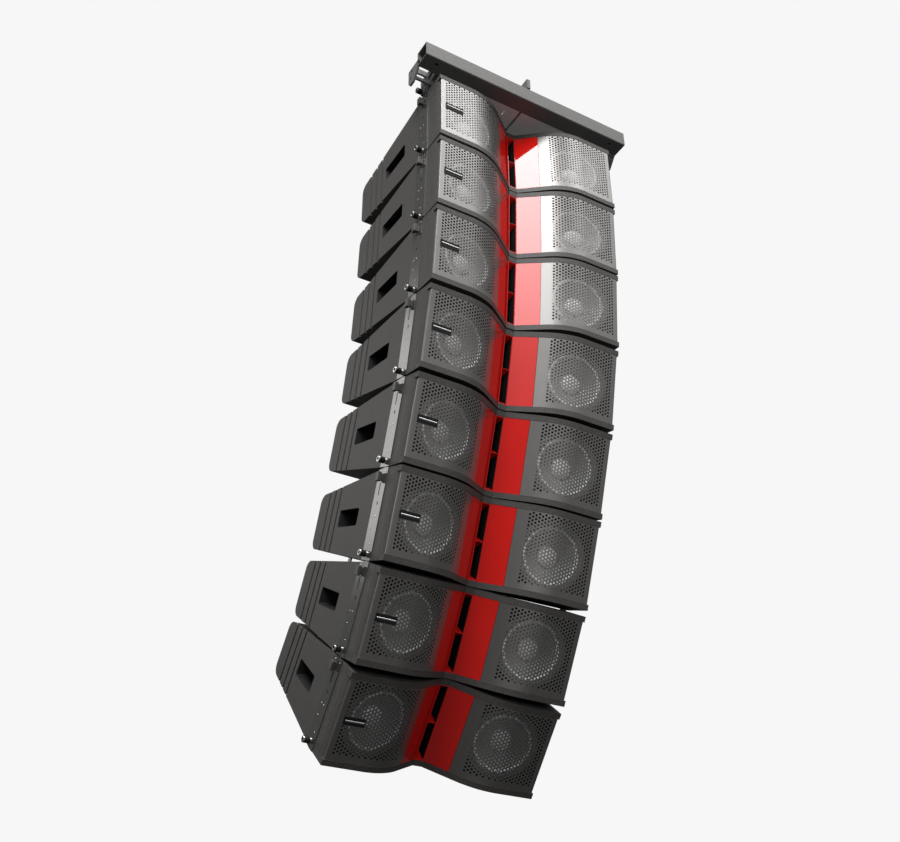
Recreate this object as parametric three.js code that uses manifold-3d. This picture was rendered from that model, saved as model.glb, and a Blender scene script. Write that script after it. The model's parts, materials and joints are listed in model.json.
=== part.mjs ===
// A flown line array: eight two-way loudspeaker cabinets hinged one below the other under a fly bar.
// Millimetres, +Z up, +Y to the rear of the array, +X to the right of someone facing the grilles.
// The origin is the shackle hole of the pick-up plate, where the array hangs from its hoist.
import * as THREE from 'three';
import { mergeVertices } from 'three/addons/utils/BufferGeometryUtils.js';
import Module from 'manifold-3d';

// ---- driving dimensions: drivers, horn and cabinet -------------------------------------------
const WOOFER_FRAME_DIAMETER = 244;
const WOOFER_CONE_DIAMETER = 200;
const WOOFER_CONE_DEPTH = 34;
const WOOFER_DEPTH = 118;
const WOOFER_WAIST_SHARE = 0.6;
const WOOFER_MAGNET_DIAMETER = 130;
const WOOFER_FRAME_THICKNESS = 7;
const WOOFER_HOLE_CLEARANCE = 2;
const BAFFLE_MARGIN = 26;
const BAFFLE_THICKNESS = 15;
const BAFFLE_SETBACK = 18;
const BAFFLE_BEHIND_GRILLE = 9.3;
const CHAMBER_CLEARANCE = 3;
const HORN_HALF_WIDTH = 89;
const HORN_SLOT_HALF_WIDTH = 15;
const HORN_WALL = 8;
const HORN_DEPTH = 62;
const HORN_CORE_HALF_WIDTH = 44;
const THROAT_HALF_WIDTH = 6;
const THROAT_RAMP = 17;
const APERTURE_DEPTH = 30;
const APERTURE_LIP = 3;
const APERTURE_RIDGE = 1;
const APERTURE_EDGE = 1;
const COMPRESSION_DRIVER_DIAMETER = 104;
const COMPRESSION_DRIVER_DEPTH = 62;
const COMPRESSION_DRIVER_LEVEL = 60;
const HORN_PLATE = 12;

const PANEL_THICKNESS = 20;
const SIDE_THICKNESS = 15;
const REAR_THICKNESS = 18;
const SIDE_EDGE = 5;
const FRAME_HEADROOM = 12;
const CABINET_DEPTH = 633;
const TAPER_START = 123;
const TAPER_ANGLE = 6.2;
const REAR_CORNER_RADIUS = 35;
const SEAM_GAP = 2;

const SHOULDER_INSET = 140;
const SHOULDER_RADIUS = 227;
const FLANK_ANGLE = 38;
const VALLEY_HALF_WIDTH = 17;
const CORNER_BEVEL_START = 12;
const CORNER_BEVEL_END = 26;

const GRILLE_SHEET = 2;
const GRILLE_SETBACK = 1;
const GRILLE_FOLD = 9;
const PIECE_GAP = 0.4;

const HANDLE_FROM_REAR = 282;
const HANDLE_LENGTH = 160;
const HANDLE_HEIGHT = 61;
const HANDLE_DEPTH = 55;
const HANDLE_CUP_WALL = 6;
const GROOVES_FROM_REAR = [78, 126, 173];
const GROOVE_WIDTH = 11;
const GROOVE_DEPTH = 7;
const AMP_RECESS_WIDTH = 400;
const AMP_RECESS_HEIGHT = 150;
const AMP_RECESS_DEPTH = 8;

// ---- driving dimensions: rigging --------------------------------------------------------------
const STRIP_START = 94;
const STRIP_END = 162;
const STRIP_PROUD = 3;
const PIN_FROM_FRONT = 131;
const PIN_RISE = 22;
const PIN_DIAMETER = 12;
const PIN_CLEARANCE = 0.35;
const PIN_BARREL_DIAMETER = 22;
const PIN_BARREL_LENGTH = 26;
const LINK_THICKNESS = 10;
const LINK_SIDE_CLEARANCE = 1;
const LINK_WIDTH = 28;
const LINK_SWING_CLEARANCE = 6;
const LINK_OUTER_WALL = 5;
const LINK_BLOCK_INNER = 18;
const LINK_ROOT = 26;
const LINK_KNOB_HEIGHT = 36;
const LINK_KNOB_WIDTH = 30;
const LINK_KNOB_PROUD = 20;
const LINK_KNOB_FROM_TOP = 32;
const LINK_TRACK_WIDTH = 6;
const LINK_TRACK_DEPTH = 2;
const LINK_TRACK_LENGTH = 40;
const SPLAY_ANGLES = [0, 3.75, 2.75, 6.5, 6, 2.75, 8.25, 10.5];

// ---- driving dimensions: fly bar --------------------------------------------------------------
const BEAM_SIZE = 70;
const BEAM_WALL = 5;
const BEAM_OVERHANG = 71;
const BEAM_FRONT = -21;
const BEAM_RISE = 48;
const END_PLATE_THICKNESS = 8;
const END_PLATE_REACH = 70;
const END_PLATE_DROP = 48;
const END_PLATE_STEP = 4;
const END_PLATE_FOOT_FROM_REAR = 37;
const END_PLATE_CORNER_RUN = 10;
const END_PLATE_CORNER_RISE = 14;
const END_PLATE_HOLE_DIAMETER = 12;
const END_PLATE_HOLES = [{ fromRear: 24, fromTop: 16 }, { fromRear: 17, fromTop: 51 }];
const BRACKET_THICKNESS = 8;
const BRACKET_FROM_BEAM = 44;
const BRACKET_DROP = 10;
const NOTCH_START = 5;
const NOTCH_END = 24;
const CHEEK_RADIUS = 15;
const CHEEK_TOP = 51;
const CHEEK_ARM_RISE = 18;
const GUSSET_THICKNESS = 10;
const GUSSET_HALF_WIDTH = 212;
const GUSSET_TAIL_HALF_WIDTH = 60;
const GUSSET_TAPER_LENGTH = 210;
const GUSSET_SHOULDER = 12;
const GUSSET_SLIT = 9;
const GUSSET_SLOT = { x: -58.5, width: 7, fromBeam: 15, length: 26 };
const SPINE_THICKNESS = 15;
const SPINE_LENGTH = 556;
const SPINE_NOSE_GAP = 7;
const SPINE_BAR_HEIGHT = 48;
const SPINE_HOLE_DIAMETER = 20;
const SPINE_HOLE_PITCH = 60;
const SPINE_HOLE_COUNT = 9;
const SPINE_FIRST_HOLE = 30;
const PICKUP_FROM_FRONT = 470;
const PICKUP_RISE = 44;
const PICKUP_LENGTH = 90;
const PICKUP_PLATE = 12;
const PICKUP_CLEARANCE = 1;
const PICKUP_OVERLAP = 40;
const SHACKLE_HOLE_DIAMETER = 30;
const SHACKLE_EDGE = 24;

// ---- worked out from them ---------------------------------------------------------------------
const GRILLE_OUTER = HORN_HALF_WIDTH + WOOFER_FRAME_DIAMETER + 2 * BAFFLE_MARGIN;
const HALF_WIDTH = GRILLE_OUTER + SIDE_EDGE;
const HALF_HEIGHT = WOOFER_FRAME_DIAMETER / 2 + FRAME_HEADROOM + PANEL_THICKNESS;
const CAVITY_HALF_HEIGHT = HALF_HEIGHT - PANEL_THICKNESS;
const CAVITY_HALF_WIDTH = HALF_WIDTH - SIDE_THICKNESS;
const SHOULDER_X = HALF_WIDTH - SHOULDER_INSET;
const LINK_OUTER = HALF_WIDTH - LINK_OUTER_WALL - LINK_SIDE_CLEARANCE;
const LINK_INNER = LINK_OUTER - LINK_THICKNESS;
const POCKET_OUTER = LINK_OUTER + LINK_SIDE_CLEARANCE;
const POCKET_INNER = LINK_INNER - LINK_SIDE_CLEARANCE;
const STRIP_FACE = HALF_WIDTH + STRIP_PROUD;
const PIN_HOLE_RADIUS = PIN_DIAMETER / 2 + PIN_CLEARANCE;
const LOWER_PIN = new THREE.Vector3(0, PIN_FROM_FRONT, -HALF_HEIGHT + PIN_RISE);
const UPPER_PIN = new THREE.Vector3(0, PIN_FROM_FRONT, HALF_HEIGHT + SEAM_GAP + PIN_RISE);
const BEAM_REAR = BEAM_FRONT + BEAM_SIZE;
const BEAM_TOP = BEAM_RISE + BEAM_SIZE;
const BEAM_HALF_LENGTH = HALF_WIDTH + BEAM_OVERHANG;
const SPINE_BAR_BOTTOM = BEAM_TOP + SPINE_NOSE_GAP;
const SPINE_BAR_TOP = SPINE_BAR_BOTTOM + SPINE_BAR_HEIGHT;
const SHACKLE_HEIGHT = SPINE_BAR_TOP + PICKUP_RISE;

// ---- modelling: cutting tools overshoot, joined solids reach into each other ------------------
const OVERSHOOT = 5;
const REACH_IN = 1;
const MOUTH_PROUD = 0.01;
const WOOFER_SIDES = 14;
const ROUND = 10;
const HOLE_SIDES = 12;

const radians = THREE.MathUtils.degToRad;
const wasm = await Module();
wasm.setup();

// ---- solids -----------------------------------------------------------------------------------

// A three.js geometry as a manifold solid.
function solid(geometry) {
  geometry.deleteAttribute('normal');
  geometry.deleteAttribute('uv');
  const merged = mergeVertices(geometry, 1e-4);
  return new wasm.Manifold(new wasm.Mesh({
    numProp: 3,
    vertProperties: Float32Array.from(merged.attributes.position.array),
    triVerts: Uint32Array.from(merged.index.array),
  }));
}

// A block between two opposite corners.
function block(x0, x1, y0, y1, z0, z1) {
  const geometry = new THREE.BoxGeometry(Math.abs(x1 - x0), Math.abs(y1 - y0), Math.abs(z1 - z0));
  geometry.translate((x0 + x1) / 2, (y0 + y1) / 2, (z0 + z1) / 2);
  return solid(geometry);
}

// A round bar along X.
function barX(radius, x0, x1, y, z, sides = ROUND) {
  const geometry = new THREE.CylinderGeometry(radius, radius, Math.abs(x1 - x0), sides);
  geometry.rotateZ(Math.PI / 2);
  geometry.translate((x0 + x1) / 2, y, z);
  return solid(geometry);
}

function extruded(points, length) {
  const shape = new THREE.Shape(points.map(([u, v]) => new THREE.Vector2(u, v)));
  return new THREE.ExtrudeGeometry(shape, { depth: length, bevelEnabled: false });
}

// A plan outline of [x, y] points, raised from z0 to z1.
function planPrism(points, z0, z1) {
  const geometry = extruded(points, z1 - z0);
  geometry.translate(0, 0, z0);
  return solid(geometry);
}

// A side outline of [y, z] points, carried from x0 to x1.
function sidePrism(points, x0, x1) {
  const geometry = extruded(points, Math.abs(x1 - x0));
  const axes = new THREE.Matrix4().makeBasis(
    new THREE.Vector3(0, 1, 0),
    new THREE.Vector3(0, 0, 1),
    new THREE.Vector3(1, 0, 0),
  );
  geometry.applyMatrix4(axes);
  geometry.translate(Math.min(x0, x1), 0, 0);
  return solid(geometry);
}

function joined(solids) {
  return solids.reduce((sum, next) => sum.add(next));
}

function cut(body, tools) {
  return tools.reduce((rest, tool) => rest.subtract(tool), body);
}

function arc(centreU, centreV, radius, fromAngle, toAngle, steps) {
  return Array.from({ length: steps + 1 }, (_, i) => {
    const angle = fromAngle + (toAngle - fromAngle) * i / steps;
    return [centreU + radius * Math.cos(angle), centreV + radius * Math.sin(angle)];
  });
}

const mirrored = (points) => points.map(([x, y]) => [-x, y]).reverse();
const bothSides = (make) => [make(-1), make(1)];

// ---- shared outlines --------------------------------------------------------------------------

// The front edge seen from above, from the middle to one side: a flat valley behind the horn slot,
// a straight flank, a round shoulder and a flat cheek. Setback moves it into the cabinet.
function frontY(x, setback) {
  const reach = Math.max(Math.abs(x), VALLEY_HALF_WIDTH);
  const radius = SHOULDER_RADIUS - setback;
  const slope = radians(FLANK_ANGLE);
  const tangentX = SHOULDER_X - radius * Math.sin(slope);
  if (reach >= SHOULDER_X) {
    return setback;
  }
  if (reach >= tangentX) {
    return SHOULDER_RADIUS - Math.sqrt(radius ** 2 - (SHOULDER_X - reach) ** 2);
  }
  return SHOULDER_RADIUS - radius * Math.cos(slope) + (tangentX - reach) * Math.tan(slope);
}

function frontLine(innerX, outerX, setback) {
  const radius = SHOULDER_RADIUS - setback;
  const steps = [0, 1 / 3, 2 / 3, 1];
  const bends = steps.map((t) => SHOULDER_X - radius * Math.sin(radians(FLANK_ANGLE * t)));
  const inside = [...bends, VALLEY_HALF_WIDTH].filter((x) => x > innerX + REACH_IN && x < outerX - REACH_IN);
  const stations = [outerX, ...inside, innerX];
  return stations.map((x) => [x, frontY(x, setback)]).reverse();
}

// The cabinet seen from the side: level over the hinge, then tapering to a rounded rear.
function sideOutline(halfHeight, rear, cornerRadius) {
  const slope = radians(TAPER_ANGLE);
  const rearHalf = halfHeight - (rear - TAPER_START) * Math.tan(slope);
  const upper = cornerRadius > 0
    ? arc(rear - cornerRadius, rearHalf - cornerRadius + cornerRadius * Math.tan(slope) / 2,
      cornerRadius, Math.PI / 2 - slope, 0, 3).reverse()
    : [[rear, rearHalf]];
  const lower = upper.map(([y, z]) => [y, -z]).reverse();
  return [
    [-OVERSHOOT, -halfHeight],
    [TAPER_START, -halfHeight],
    ...lower,
    ...upper,
    [TAPER_START, halfHeight],
    [-OVERSHOOT, halfHeight],
  ];
}

// ---- cabinet ----------------------------------------------------------------------------------

function rigging(side) {
  const lug = LINK_WIDTH / 2;
  const top = HALF_HEIGHT;
  return {
    strip: block(side * (HALF_WIDTH - OVERSHOOT), side * STRIP_FACE, STRIP_START, STRIP_END, -top, top),
    block: block(side * (POCKET_INNER - LINK_BLOCK_INNER), side * (CAVITY_HALF_WIDTH + REACH_IN),
      STRIP_START, STRIP_END, -top, top),
    link: joined([
      block(side * LINK_INNER, side * LINK_OUTER, PIN_FROM_FRONT - lug, PIN_FROM_FRONT + lug,
        top - LINK_ROOT, UPPER_PIN.z),
      barX(lug, side * LINK_INNER, side * LINK_OUTER, PIN_FROM_FRONT, UPPER_PIN.z),
    ]),
    knob: block(side * HALF_WIDTH, side * (STRIP_FACE + LINK_KNOB_PROUD),
      PIN_FROM_FRONT - LINK_KNOB_WIDTH / 2, PIN_FROM_FRONT + LINK_KNOB_WIDTH / 2,
      top - LINK_KNOB_FROM_TOP - LINK_KNOB_HEIGHT / 2, top - LINK_KNOB_FROM_TOP + LINK_KNOB_HEIGHT / 2),
    track: block(side * (STRIP_FACE - LINK_TRACK_DEPTH), side * (STRIP_FACE + OVERSHOOT),
      PIN_FROM_FRONT - LINK_TRACK_WIDTH / 2, PIN_FROM_FRONT + LINK_TRACK_WIDTH / 2,
      top - LINK_KNOB_FROM_TOP - LINK_KNOB_HEIGHT / 2 - LINK_TRACK_LENGTH,
      top - LINK_KNOB_FROM_TOP - LINK_KNOB_HEIGHT / 2),
    pocket: joined([
      block(side * POCKET_INNER, side * POCKET_OUTER,
        PIN_FROM_FRONT - lug - LINK_SWING_CLEARANCE, PIN_FROM_FRONT + lug + LINK_SWING_CLEARANCE,
        -top - OVERSHOOT, LOWER_PIN.z),
      barX(lug + LINK_SWING_CLEARANCE, side * POCKET_INNER, side * POCKET_OUTER,
        PIN_FROM_FRONT, LOWER_PIN.z),
    ]),
    lowerHole: pinHole(side, LOWER_PIN.z),
    upperHole: pinHole(side, UPPER_PIN.z),
  };
}

// The hole for a quick-release pin: through the outer wall and the link, blind in the inner wall.
function pinHole(side, z) {
  const blindEnd = POCKET_INNER - LINK_BLOCK_INNER / 2;
  return barX(PIN_HOLE_RADIUS, side * blindEnd, side * (STRIP_FACE + OVERSHOOT), PIN_FROM_FRONT, z);
}

function handle(side) {
  const middle = CABINET_DEPTH - HANDLE_FROM_REAR;
  const length = HANDLE_LENGTH / 2;
  const height = HANDLE_HEIGHT / 2;
  const floor = HALF_WIDTH - HANDLE_DEPTH;
  const wall = HANDLE_CUP_WALL;
  return {
    cup: block(side * (floor - wall), side * (CAVITY_HALF_WIDTH + REACH_IN),
      middle - length - wall, middle + length + wall, -height - wall, height + wall),
    recess: block(side * floor, side * (HALF_WIDTH + OVERSHOOT),
      middle - length, middle + length, -height, height),
  };
}

function groove(side, fromRear) {
  const middle = CABINET_DEPTH - fromRear;
  return block(side * (HALF_WIDTH - GROOVE_DEPTH), side * (HALF_WIDTH + OVERSHOOT),
    middle - GROOVE_WIDTH / 2, middle + GROOVE_WIDTH / 2, -HALF_HEIGHT - OVERSHOOT, HALF_HEIGHT + OVERSHOOT);
}

// The side panel's front edge stands back behind the grille and is bevelled at the corner.
function cornerCut(side) {
  const bevelRun = CORNER_BEVEL_END - CORNER_BEVEL_START;
  const points = [
    [GRILLE_OUTER - 2 * SIDE_THICKNESS, -2 * OVERSHOOT],
    [GRILLE_OUTER + 2 * SIDE_EDGE, -2 * OVERSHOOT],
    [GRILLE_OUTER + 2 * SIDE_EDGE, CORNER_BEVEL_START + 2 * bevelRun],
    [GRILLE_OUTER, CORNER_BEVEL_START],
    [GRILLE_OUTER - 2 * SIDE_THICKNESS, CORNER_BEVEL_START],
  ];
  return planPrism(side > 0 ? points : mirrored(points), -CAVITY_HALF_HEIGHT, CAVITY_HALF_HEIGHT);
}

function cabinetSolid() {
  const right = frontLine(0, HALF_WIDTH, 0);
  const rear = [[HALF_WIDTH, CABINET_DEPTH], [-HALF_WIDTH, CABINET_DEPTH]];
  const plan = [...mirrored(right), ...right.slice(1), ...rear];
  const gear = bothSides(rigging);
  const handles = bothSides(handle);
  const outerSide = sidePrism(sideOutline(HALF_HEIGHT, CABINET_DEPTH, REAR_CORNER_RADIUS),
    -STRIP_FACE - OVERSHOOT, STRIP_FACE + OVERSHOOT);
  const cavity = sidePrism(sideOutline(CAVITY_HALF_HEIGHT, CABINET_DEPTH - REAR_THICKNESS, 0),
    -CAVITY_HALF_WIDTH, CAVITY_HALF_WIDTH);
  const shell = joined([planPrism(plan, -HALF_HEIGHT, HALF_HEIGHT), ...gear.map((g) => g.strip)])
    .intersect(outerSide)
    .subtract(cavity);
  const inner = joined([...gear.map((g) => g.block), ...handles.map((h) => h.cup)]).intersect(outerSide);
  const full = joined([shell, inner, ...gear.map((g) => g.link), ...gear.map((g) => g.knob)]);
  const ampRecess = block(-AMP_RECESS_WIDTH / 2, AMP_RECESS_WIDTH / 2,
    CABINET_DEPTH - AMP_RECESS_DEPTH, CABINET_DEPTH + OVERSHOOT,
    -AMP_RECESS_HEIGHT / 2, AMP_RECESS_HEIGHT / 2);
  return cut(full, [
    ...handles.map((h) => h.recess),
    ...gear.flatMap((g) => [g.pocket, g.lowerHole, g.upperHole, g.track]),
    ...bothSides(cornerCut),
    ...bothSides((side) => joined(GROOVES_FROM_REAR.map((at) => groove(side, at)))),
    ampRecess,
  ]);
}

// ---- grille, horn and drivers -----------------------------------------------------------------

// The room inside the cabinet that the horn and the baffle keep to, level and then tapering.
function insideCabinet(body) {
  const outline = sideOutline(CAVITY_HALF_HEIGHT - PIECE_GAP, CABINET_DEPTH - REAR_THICKNESS - PIECE_GAP, 0);
  return body.intersect(sidePrism(outline, -CAVITY_HALF_WIDTH, CAVITY_HALF_WIDTH));
}

function grilleSolid(side) {
  const front = frontLine(HORN_HALF_WIDTH, GRILLE_OUTER, GRILLE_SETBACK);
  const back = frontLine(HORN_HALF_WIDTH, GRILLE_OUTER - GRILLE_SHEET, GRILLE_SETBACK + GRILLE_SHEET);
  const foldEnd = GRILLE_SETBACK + GRILLE_FOLD;
  const points = [
    ...front,
    [GRILLE_OUTER, foldEnd],
    [GRILLE_OUTER - GRILLE_SHEET, foldEnd],
    ...back.reverse(),
  ];
  const half = CAVITY_HALF_HEIGHT - PIECE_GAP;
  return planPrism(side > 0 ? points : mirrored(points), -half, half);
}

// One horn aperture: it narrows from the slot to the throat, its floor and ceiling ramping in.
function aperture(z0, z1, mouthY) {
  const middle = (z0 + z1) / 2;
  const halfHeight = (z1 - z0) / 2;
  const mouth = new THREE.BoxGeometry(2, APERTURE_DEPTH, 2);
  const corners = mouth.attributes.position;
  for (let i = 0; i < corners.count; i += 1) {
    const atThroat = corners.getY(i) > 0;
    const width = atThroat ? THROAT_HALF_WIDTH : HORN_SLOT_HALF_WIDTH - APERTURE_EDGE;
    const height = atThroat ? halfHeight - THROAT_RAMP : halfHeight;
    corners.setXYZ(i, corners.getX(i) * width, corners.getY(i) + mouthY + APERTURE_DEPTH / 2,
      corners.getZ(i) * height + middle);
  }
  const throatEnd = mouthY + HORN_DEPTH + OVERSHOOT;
  const throat = block(-THROAT_HALF_WIDTH, THROAT_HALF_WIDTH, mouthY + APERTURE_DEPTH - REACH_IN, throatEnd,
    z0 + THROAT_RAMP, z1 - THROAT_RAMP);
  return solid(mouth).add(throat);
}

function waveguideSolid() {
  const setback = GRILLE_SETBACK;
  const outer = HORN_HALF_WIDTH - PIECE_GAP;
  const mouthY = frontY(0, setback);
  const rear = mouthY + HORN_DEPTH;
  const front = frontLine(0, outer, setback);
  const back = frontLine(HORN_CORE_HALF_WIDTH, outer, setback + HORN_WALL).reverse();
  const right = [...front, ...back, [HORN_CORE_HALF_WIDTH, rear]];
  const plan = [...mirrored(right), ...right.slice(1)];
  const half = CAVITY_HALF_HEIGHT - PIECE_GAP;
  const lip = half - APERTURE_LIP;
  const ridge = APERTURE_RIDGE / 2;
  return cut(insideCabinet(planPrism(plan, -half, half)), [
    aperture(-lip, -ridge, mouthY - MOUTH_PROUD),
    aperture(ridge, lip, mouthY - MOUTH_PROUD),
  ]);
}

// A cone driver facing -Y at the origin, turned about its axis: dust cap, cone, frame, basket, magnet.
function wooferSolid() {
  const cone = WOOFER_CONE_DIAMETER / 2;
  const frame = WOOFER_FRAME_DIAMETER / 2;
  const magnet = WOOFER_MAGNET_DIAMETER / 2;
  const profile = [
    [0, WOOFER_CONE_DEPTH],
    [cone, 0],
    [cone, -WOOFER_FRAME_THICKNESS],
    [frame, -WOOFER_FRAME_THICKNESS],
    [frame, PIECE_GAP],
    [magnet, WOOFER_DEPTH * WOOFER_WAIST_SHARE],
    [magnet, WOOFER_DEPTH],
    [0, WOOFER_DEPTH],
  ];
  const points = profile.map(([r, depth]) => new THREE.Vector2(r, depth));
  const geometry = new THREE.LatheGeometry(points, WOOFER_SIDES);
  return solid(geometry);
}

function driverBaffleSolid() {
  const outer = CAVITY_HALF_WIDTH - PIECE_GAP;
  const chamber = HORN_HALF_WIDTH + CHAMBER_CLEARANCE;
  const rise = frontY(chamber, GRILLE_SETBACK) + BAFFLE_BEHIND_GRILLE - BAFFLE_SETBACK;
  const toeIn = Math.atan(rise / (outer - chamber));
  const wooferX = HORN_HALF_WIDTH + BAFFLE_MARGIN + WOOFER_FRAME_DIAMETER / 2;
  const frontAt = (x) => BAFFLE_SETBACK + (outer - x) * Math.tan(toeIn);
  const plateY = frontY(0, GRILLE_SETBACK) + HORN_DEPTH + PIECE_GAP;
  const thick = BAFFLE_THICKNESS;
  const right = [
    [0, plateY],
    [chamber, plateY],
    [chamber, frontAt(chamber)],
    [outer, BAFFLE_SETBACK],
    [outer, BAFFLE_SETBACK + thick],
    [chamber + thick, frontAt(chamber + thick) + thick],
    [chamber + thick, plateY + HORN_PLATE],
    [0, plateY + HORN_PLATE],
  ];
  const half = CAVITY_HALF_HEIGHT - PIECE_GAP;
  const plan = [...right, ...mirrored(right).slice(1, -1)];
  const cone = WOOFER_CONE_DIAMETER / 2;
  const place = (piece, side) => piece
    .rotate([0, 0, -side * THREE.MathUtils.radToDeg(toeIn)])
    .translate([side * wooferX, frontAt(wooferX), 0]);
  const holes = bothSides((side) => {
    const radius = cone + WOOFER_HOLE_CLEARANCE;
    const hole = new THREE.CylinderGeometry(radius, radius, 4 * thick, WOOFER_SIDES);
    return place(solid(hole), side);
  });
  const woofers = bothSides((side) => place(wooferSolid(), side));
  const compression = [-1, 1].map((level) => {
    const geometry = new THREE.CylinderGeometry(COMPRESSION_DRIVER_DIAMETER / 2,
      COMPRESSION_DRIVER_DIAMETER / 2, COMPRESSION_DRIVER_DEPTH, ROUND);
    const seat = plateY + HORN_PLATE - REACH_IN;
    geometry.translate(0, seat + COMPRESSION_DRIVER_DEPTH / 2, level * COMPRESSION_DRIVER_LEVEL);
    return solid(geometry);
  });
  return joined([cut(insideCabinet(planPrism(plan, -half, half)), holes), ...woofers, ...compression]);
}

// A quick-release pin: a shaft and its barrel, drawn outwards along X.
function pinSolid(side, z) {
  const tip = POCKET_INNER - LINK_BLOCK_INNER / 2 + REACH_IN;
  const seat = STRIP_FACE + PIECE_GAP;
  return joined([
    barX(PIN_DIAMETER / 2, side * tip, side * (seat + REACH_IN), PIN_FROM_FRONT, z),
    barX(PIN_BARREL_DIAMETER / 2, side * seat, side * (seat + PIN_BARREL_LENGTH), PIN_FROM_FRONT, z),
  ]);
}

// ---- fly bar: y from the first cabinet's front, z from the level of its hinge seam -------------

const flyPinZ = PIN_RISE + SEAM_GAP / 2;

function beamSolid() {
  const outer = block(-BEAM_HALF_LENGTH, BEAM_HALF_LENGTH, BEAM_FRONT, BEAM_REAR, BEAM_RISE, BEAM_TOP);
  return outer.subtract(block(-BEAM_HALF_LENGTH - OVERSHOOT, BEAM_HALF_LENGTH + OVERSHOOT,
    BEAM_FRONT + BEAM_WALL, BEAM_REAR - BEAM_WALL, BEAM_RISE + BEAM_WALL, BEAM_TOP - BEAM_WALL));
}

function endPlate(side) {
  const top = BEAM_RISE + BEAM_SIZE / 2;
  const bottom = BEAM_RISE - END_PLATE_DROP;
  const rear = BEAM_REAR + END_PLATE_REACH;
  const inner = BEAM_HALF_LENGTH - END_PLATE_THICKNESS;
  const plate = sidePrism([
    [BEAM_REAR - BEAM_WALL, BEAM_RISE],
    [BEAM_REAR, BEAM_RISE - END_PLATE_STEP],
    [rear - END_PLATE_FOOT_FROM_REAR, bottom],
    [rear - END_PLATE_CORNER_RUN, bottom],
    [rear, bottom + END_PLATE_CORNER_RISE],
    [rear, top],
    [BEAM_REAR - BEAM_WALL, top],
  ], side * inner, side * BEAM_HALF_LENGTH);
  const hole = ({ fromRear, fromTop }) => barX(END_PLATE_HOLE_DIAMETER / 2,
    side * (inner - OVERSHOOT), side * (BEAM_HALF_LENGTH + OVERSHOOT),
    rear - fromRear, top - fromTop, HOLE_SIDES);
  return cut(plate, END_PLATE_HOLES.map(hole));
}

// The plate across the end, notched over the first cabinet's link.
function endBracket(side, innerCheek) {
  const front = BEAM_REAR + BRACKET_FROM_BEAM;
  const rear = front + BRACKET_THICKNESS;
  const plateInner = BEAM_HALF_LENGTH - END_PLATE_THICKNESS;
  return block(side * innerCheek, side * (plateInner + REACH_IN), front, rear,
    BEAM_RISE - BRACKET_DROP, BEAM_RISE + CHEEK_TOP)
    .subtract(block(side * (HALF_WIDTH + OVERSHOOT), side * plateInner, front - REACH_IN, rear + REACH_IN,
      BEAM_RISE + NOTCH_START, BEAM_RISE + NOTCH_END));
}

// A beam end: its plate, the bracket, and the two cheeks that hold the first cabinet's link.
function endFrame(side) {
  const innerCheek = POCKET_INNER - LINK_BLOCK_INNER;
  const cheekOutline = [
    [BEAM_REAR - BEAM_WALL, BEAM_RISE + CHEEK_ARM_RISE],
    [PIN_FROM_FRONT - CHEEK_RADIUS, BEAM_RISE + CHEEK_ARM_RISE],
    ...arc(PIN_FROM_FRONT, flyPinZ, CHEEK_RADIUS, Math.PI, 2 * Math.PI, 8),
    [PIN_FROM_FRONT + CHEEK_RADIUS, BEAM_RISE + CHEEK_TOP],
    [BEAM_REAR - BEAM_WALL, BEAM_RISE + CHEEK_TOP],
  ];
  const cheeks = [
    sidePrism(cheekOutline, side * innerCheek, side * POCKET_INNER),
    sidePrism(cheekOutline, side * POCKET_OUTER, side * STRIP_FACE),
  ];
  return joined([endPlate(side), endBracket(side, innerCheek), ...cheeks]).subtract(pinHole(side, flyPinZ));
}

function gusset(side) {
  const inner = GUSSET_SLIT / 2;
  const start = BEAM_REAR - BEAM_WALL;
  const points = [
    [inner, start],
    [GUSSET_HALF_WIDTH, start],
    [GUSSET_HALF_WIDTH, BEAM_REAR + GUSSET_SHOULDER],
    [GUSSET_TAIL_HALF_WIDTH, BEAM_REAR + GUSSET_TAPER_LENGTH],
    [GUSSET_TAIL_HALF_WIDTH, BEAM_REAR + SPINE_LENGTH],
    [inner, BEAM_REAR + SPINE_LENGTH],
  ];
  return planPrism(side > 0 ? points : mirrored(points), BEAM_RISE, BEAM_RISE + GUSSET_THICKNESS);
}

function spineSolid() {
  const rear = BEAM_REAR + SPINE_LENGTH;
  const web = BEAM_RISE + GUSSET_THICKNESS - REACH_IN;
  const half = SPINE_THICKNESS / 2;
  const bar = sidePrism([
    [BEAM_REAR - BEAM_WALL, web],
    [rear, web],
    [rear, SPINE_BAR_TOP],
    [BEAM_FRONT, SPINE_BAR_TOP],
    [BEAM_FRONT, SPINE_BAR_BOTTOM],
    [BEAM_REAR - BEAM_WALL, SPINE_BAR_BOTTOM],
  ], -half, half);
  const holes = Array.from({ length: SPINE_HOLE_COUNT }, (_, i) => barX(SPINE_HOLE_DIAMETER / 2,
    -half - REACH_IN, half + REACH_IN, BEAM_REAR + SPINE_FIRST_HOLE + i * SPINE_HOLE_PITCH,
    (SPINE_BAR_BOTTOM + SPINE_BAR_TOP) / 2, HOLE_SIDES));
  return cut(bar, holes);
}

function flyBarSolid() {
  const { x, width, fromBeam, length } = GUSSET_SLOT;
  const slot = block(x - width / 2, x + width / 2, BEAM_REAR + fromBeam, BEAM_REAR + fromBeam + length,
    BEAM_RISE - REACH_IN, BEAM_RISE + GUSSET_THICKNESS + REACH_IN);
  return joined([beamSolid(), ...bothSides(endFrame), ...bothSides(gusset), spineSolid()]).subtract(slot);
}

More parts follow.
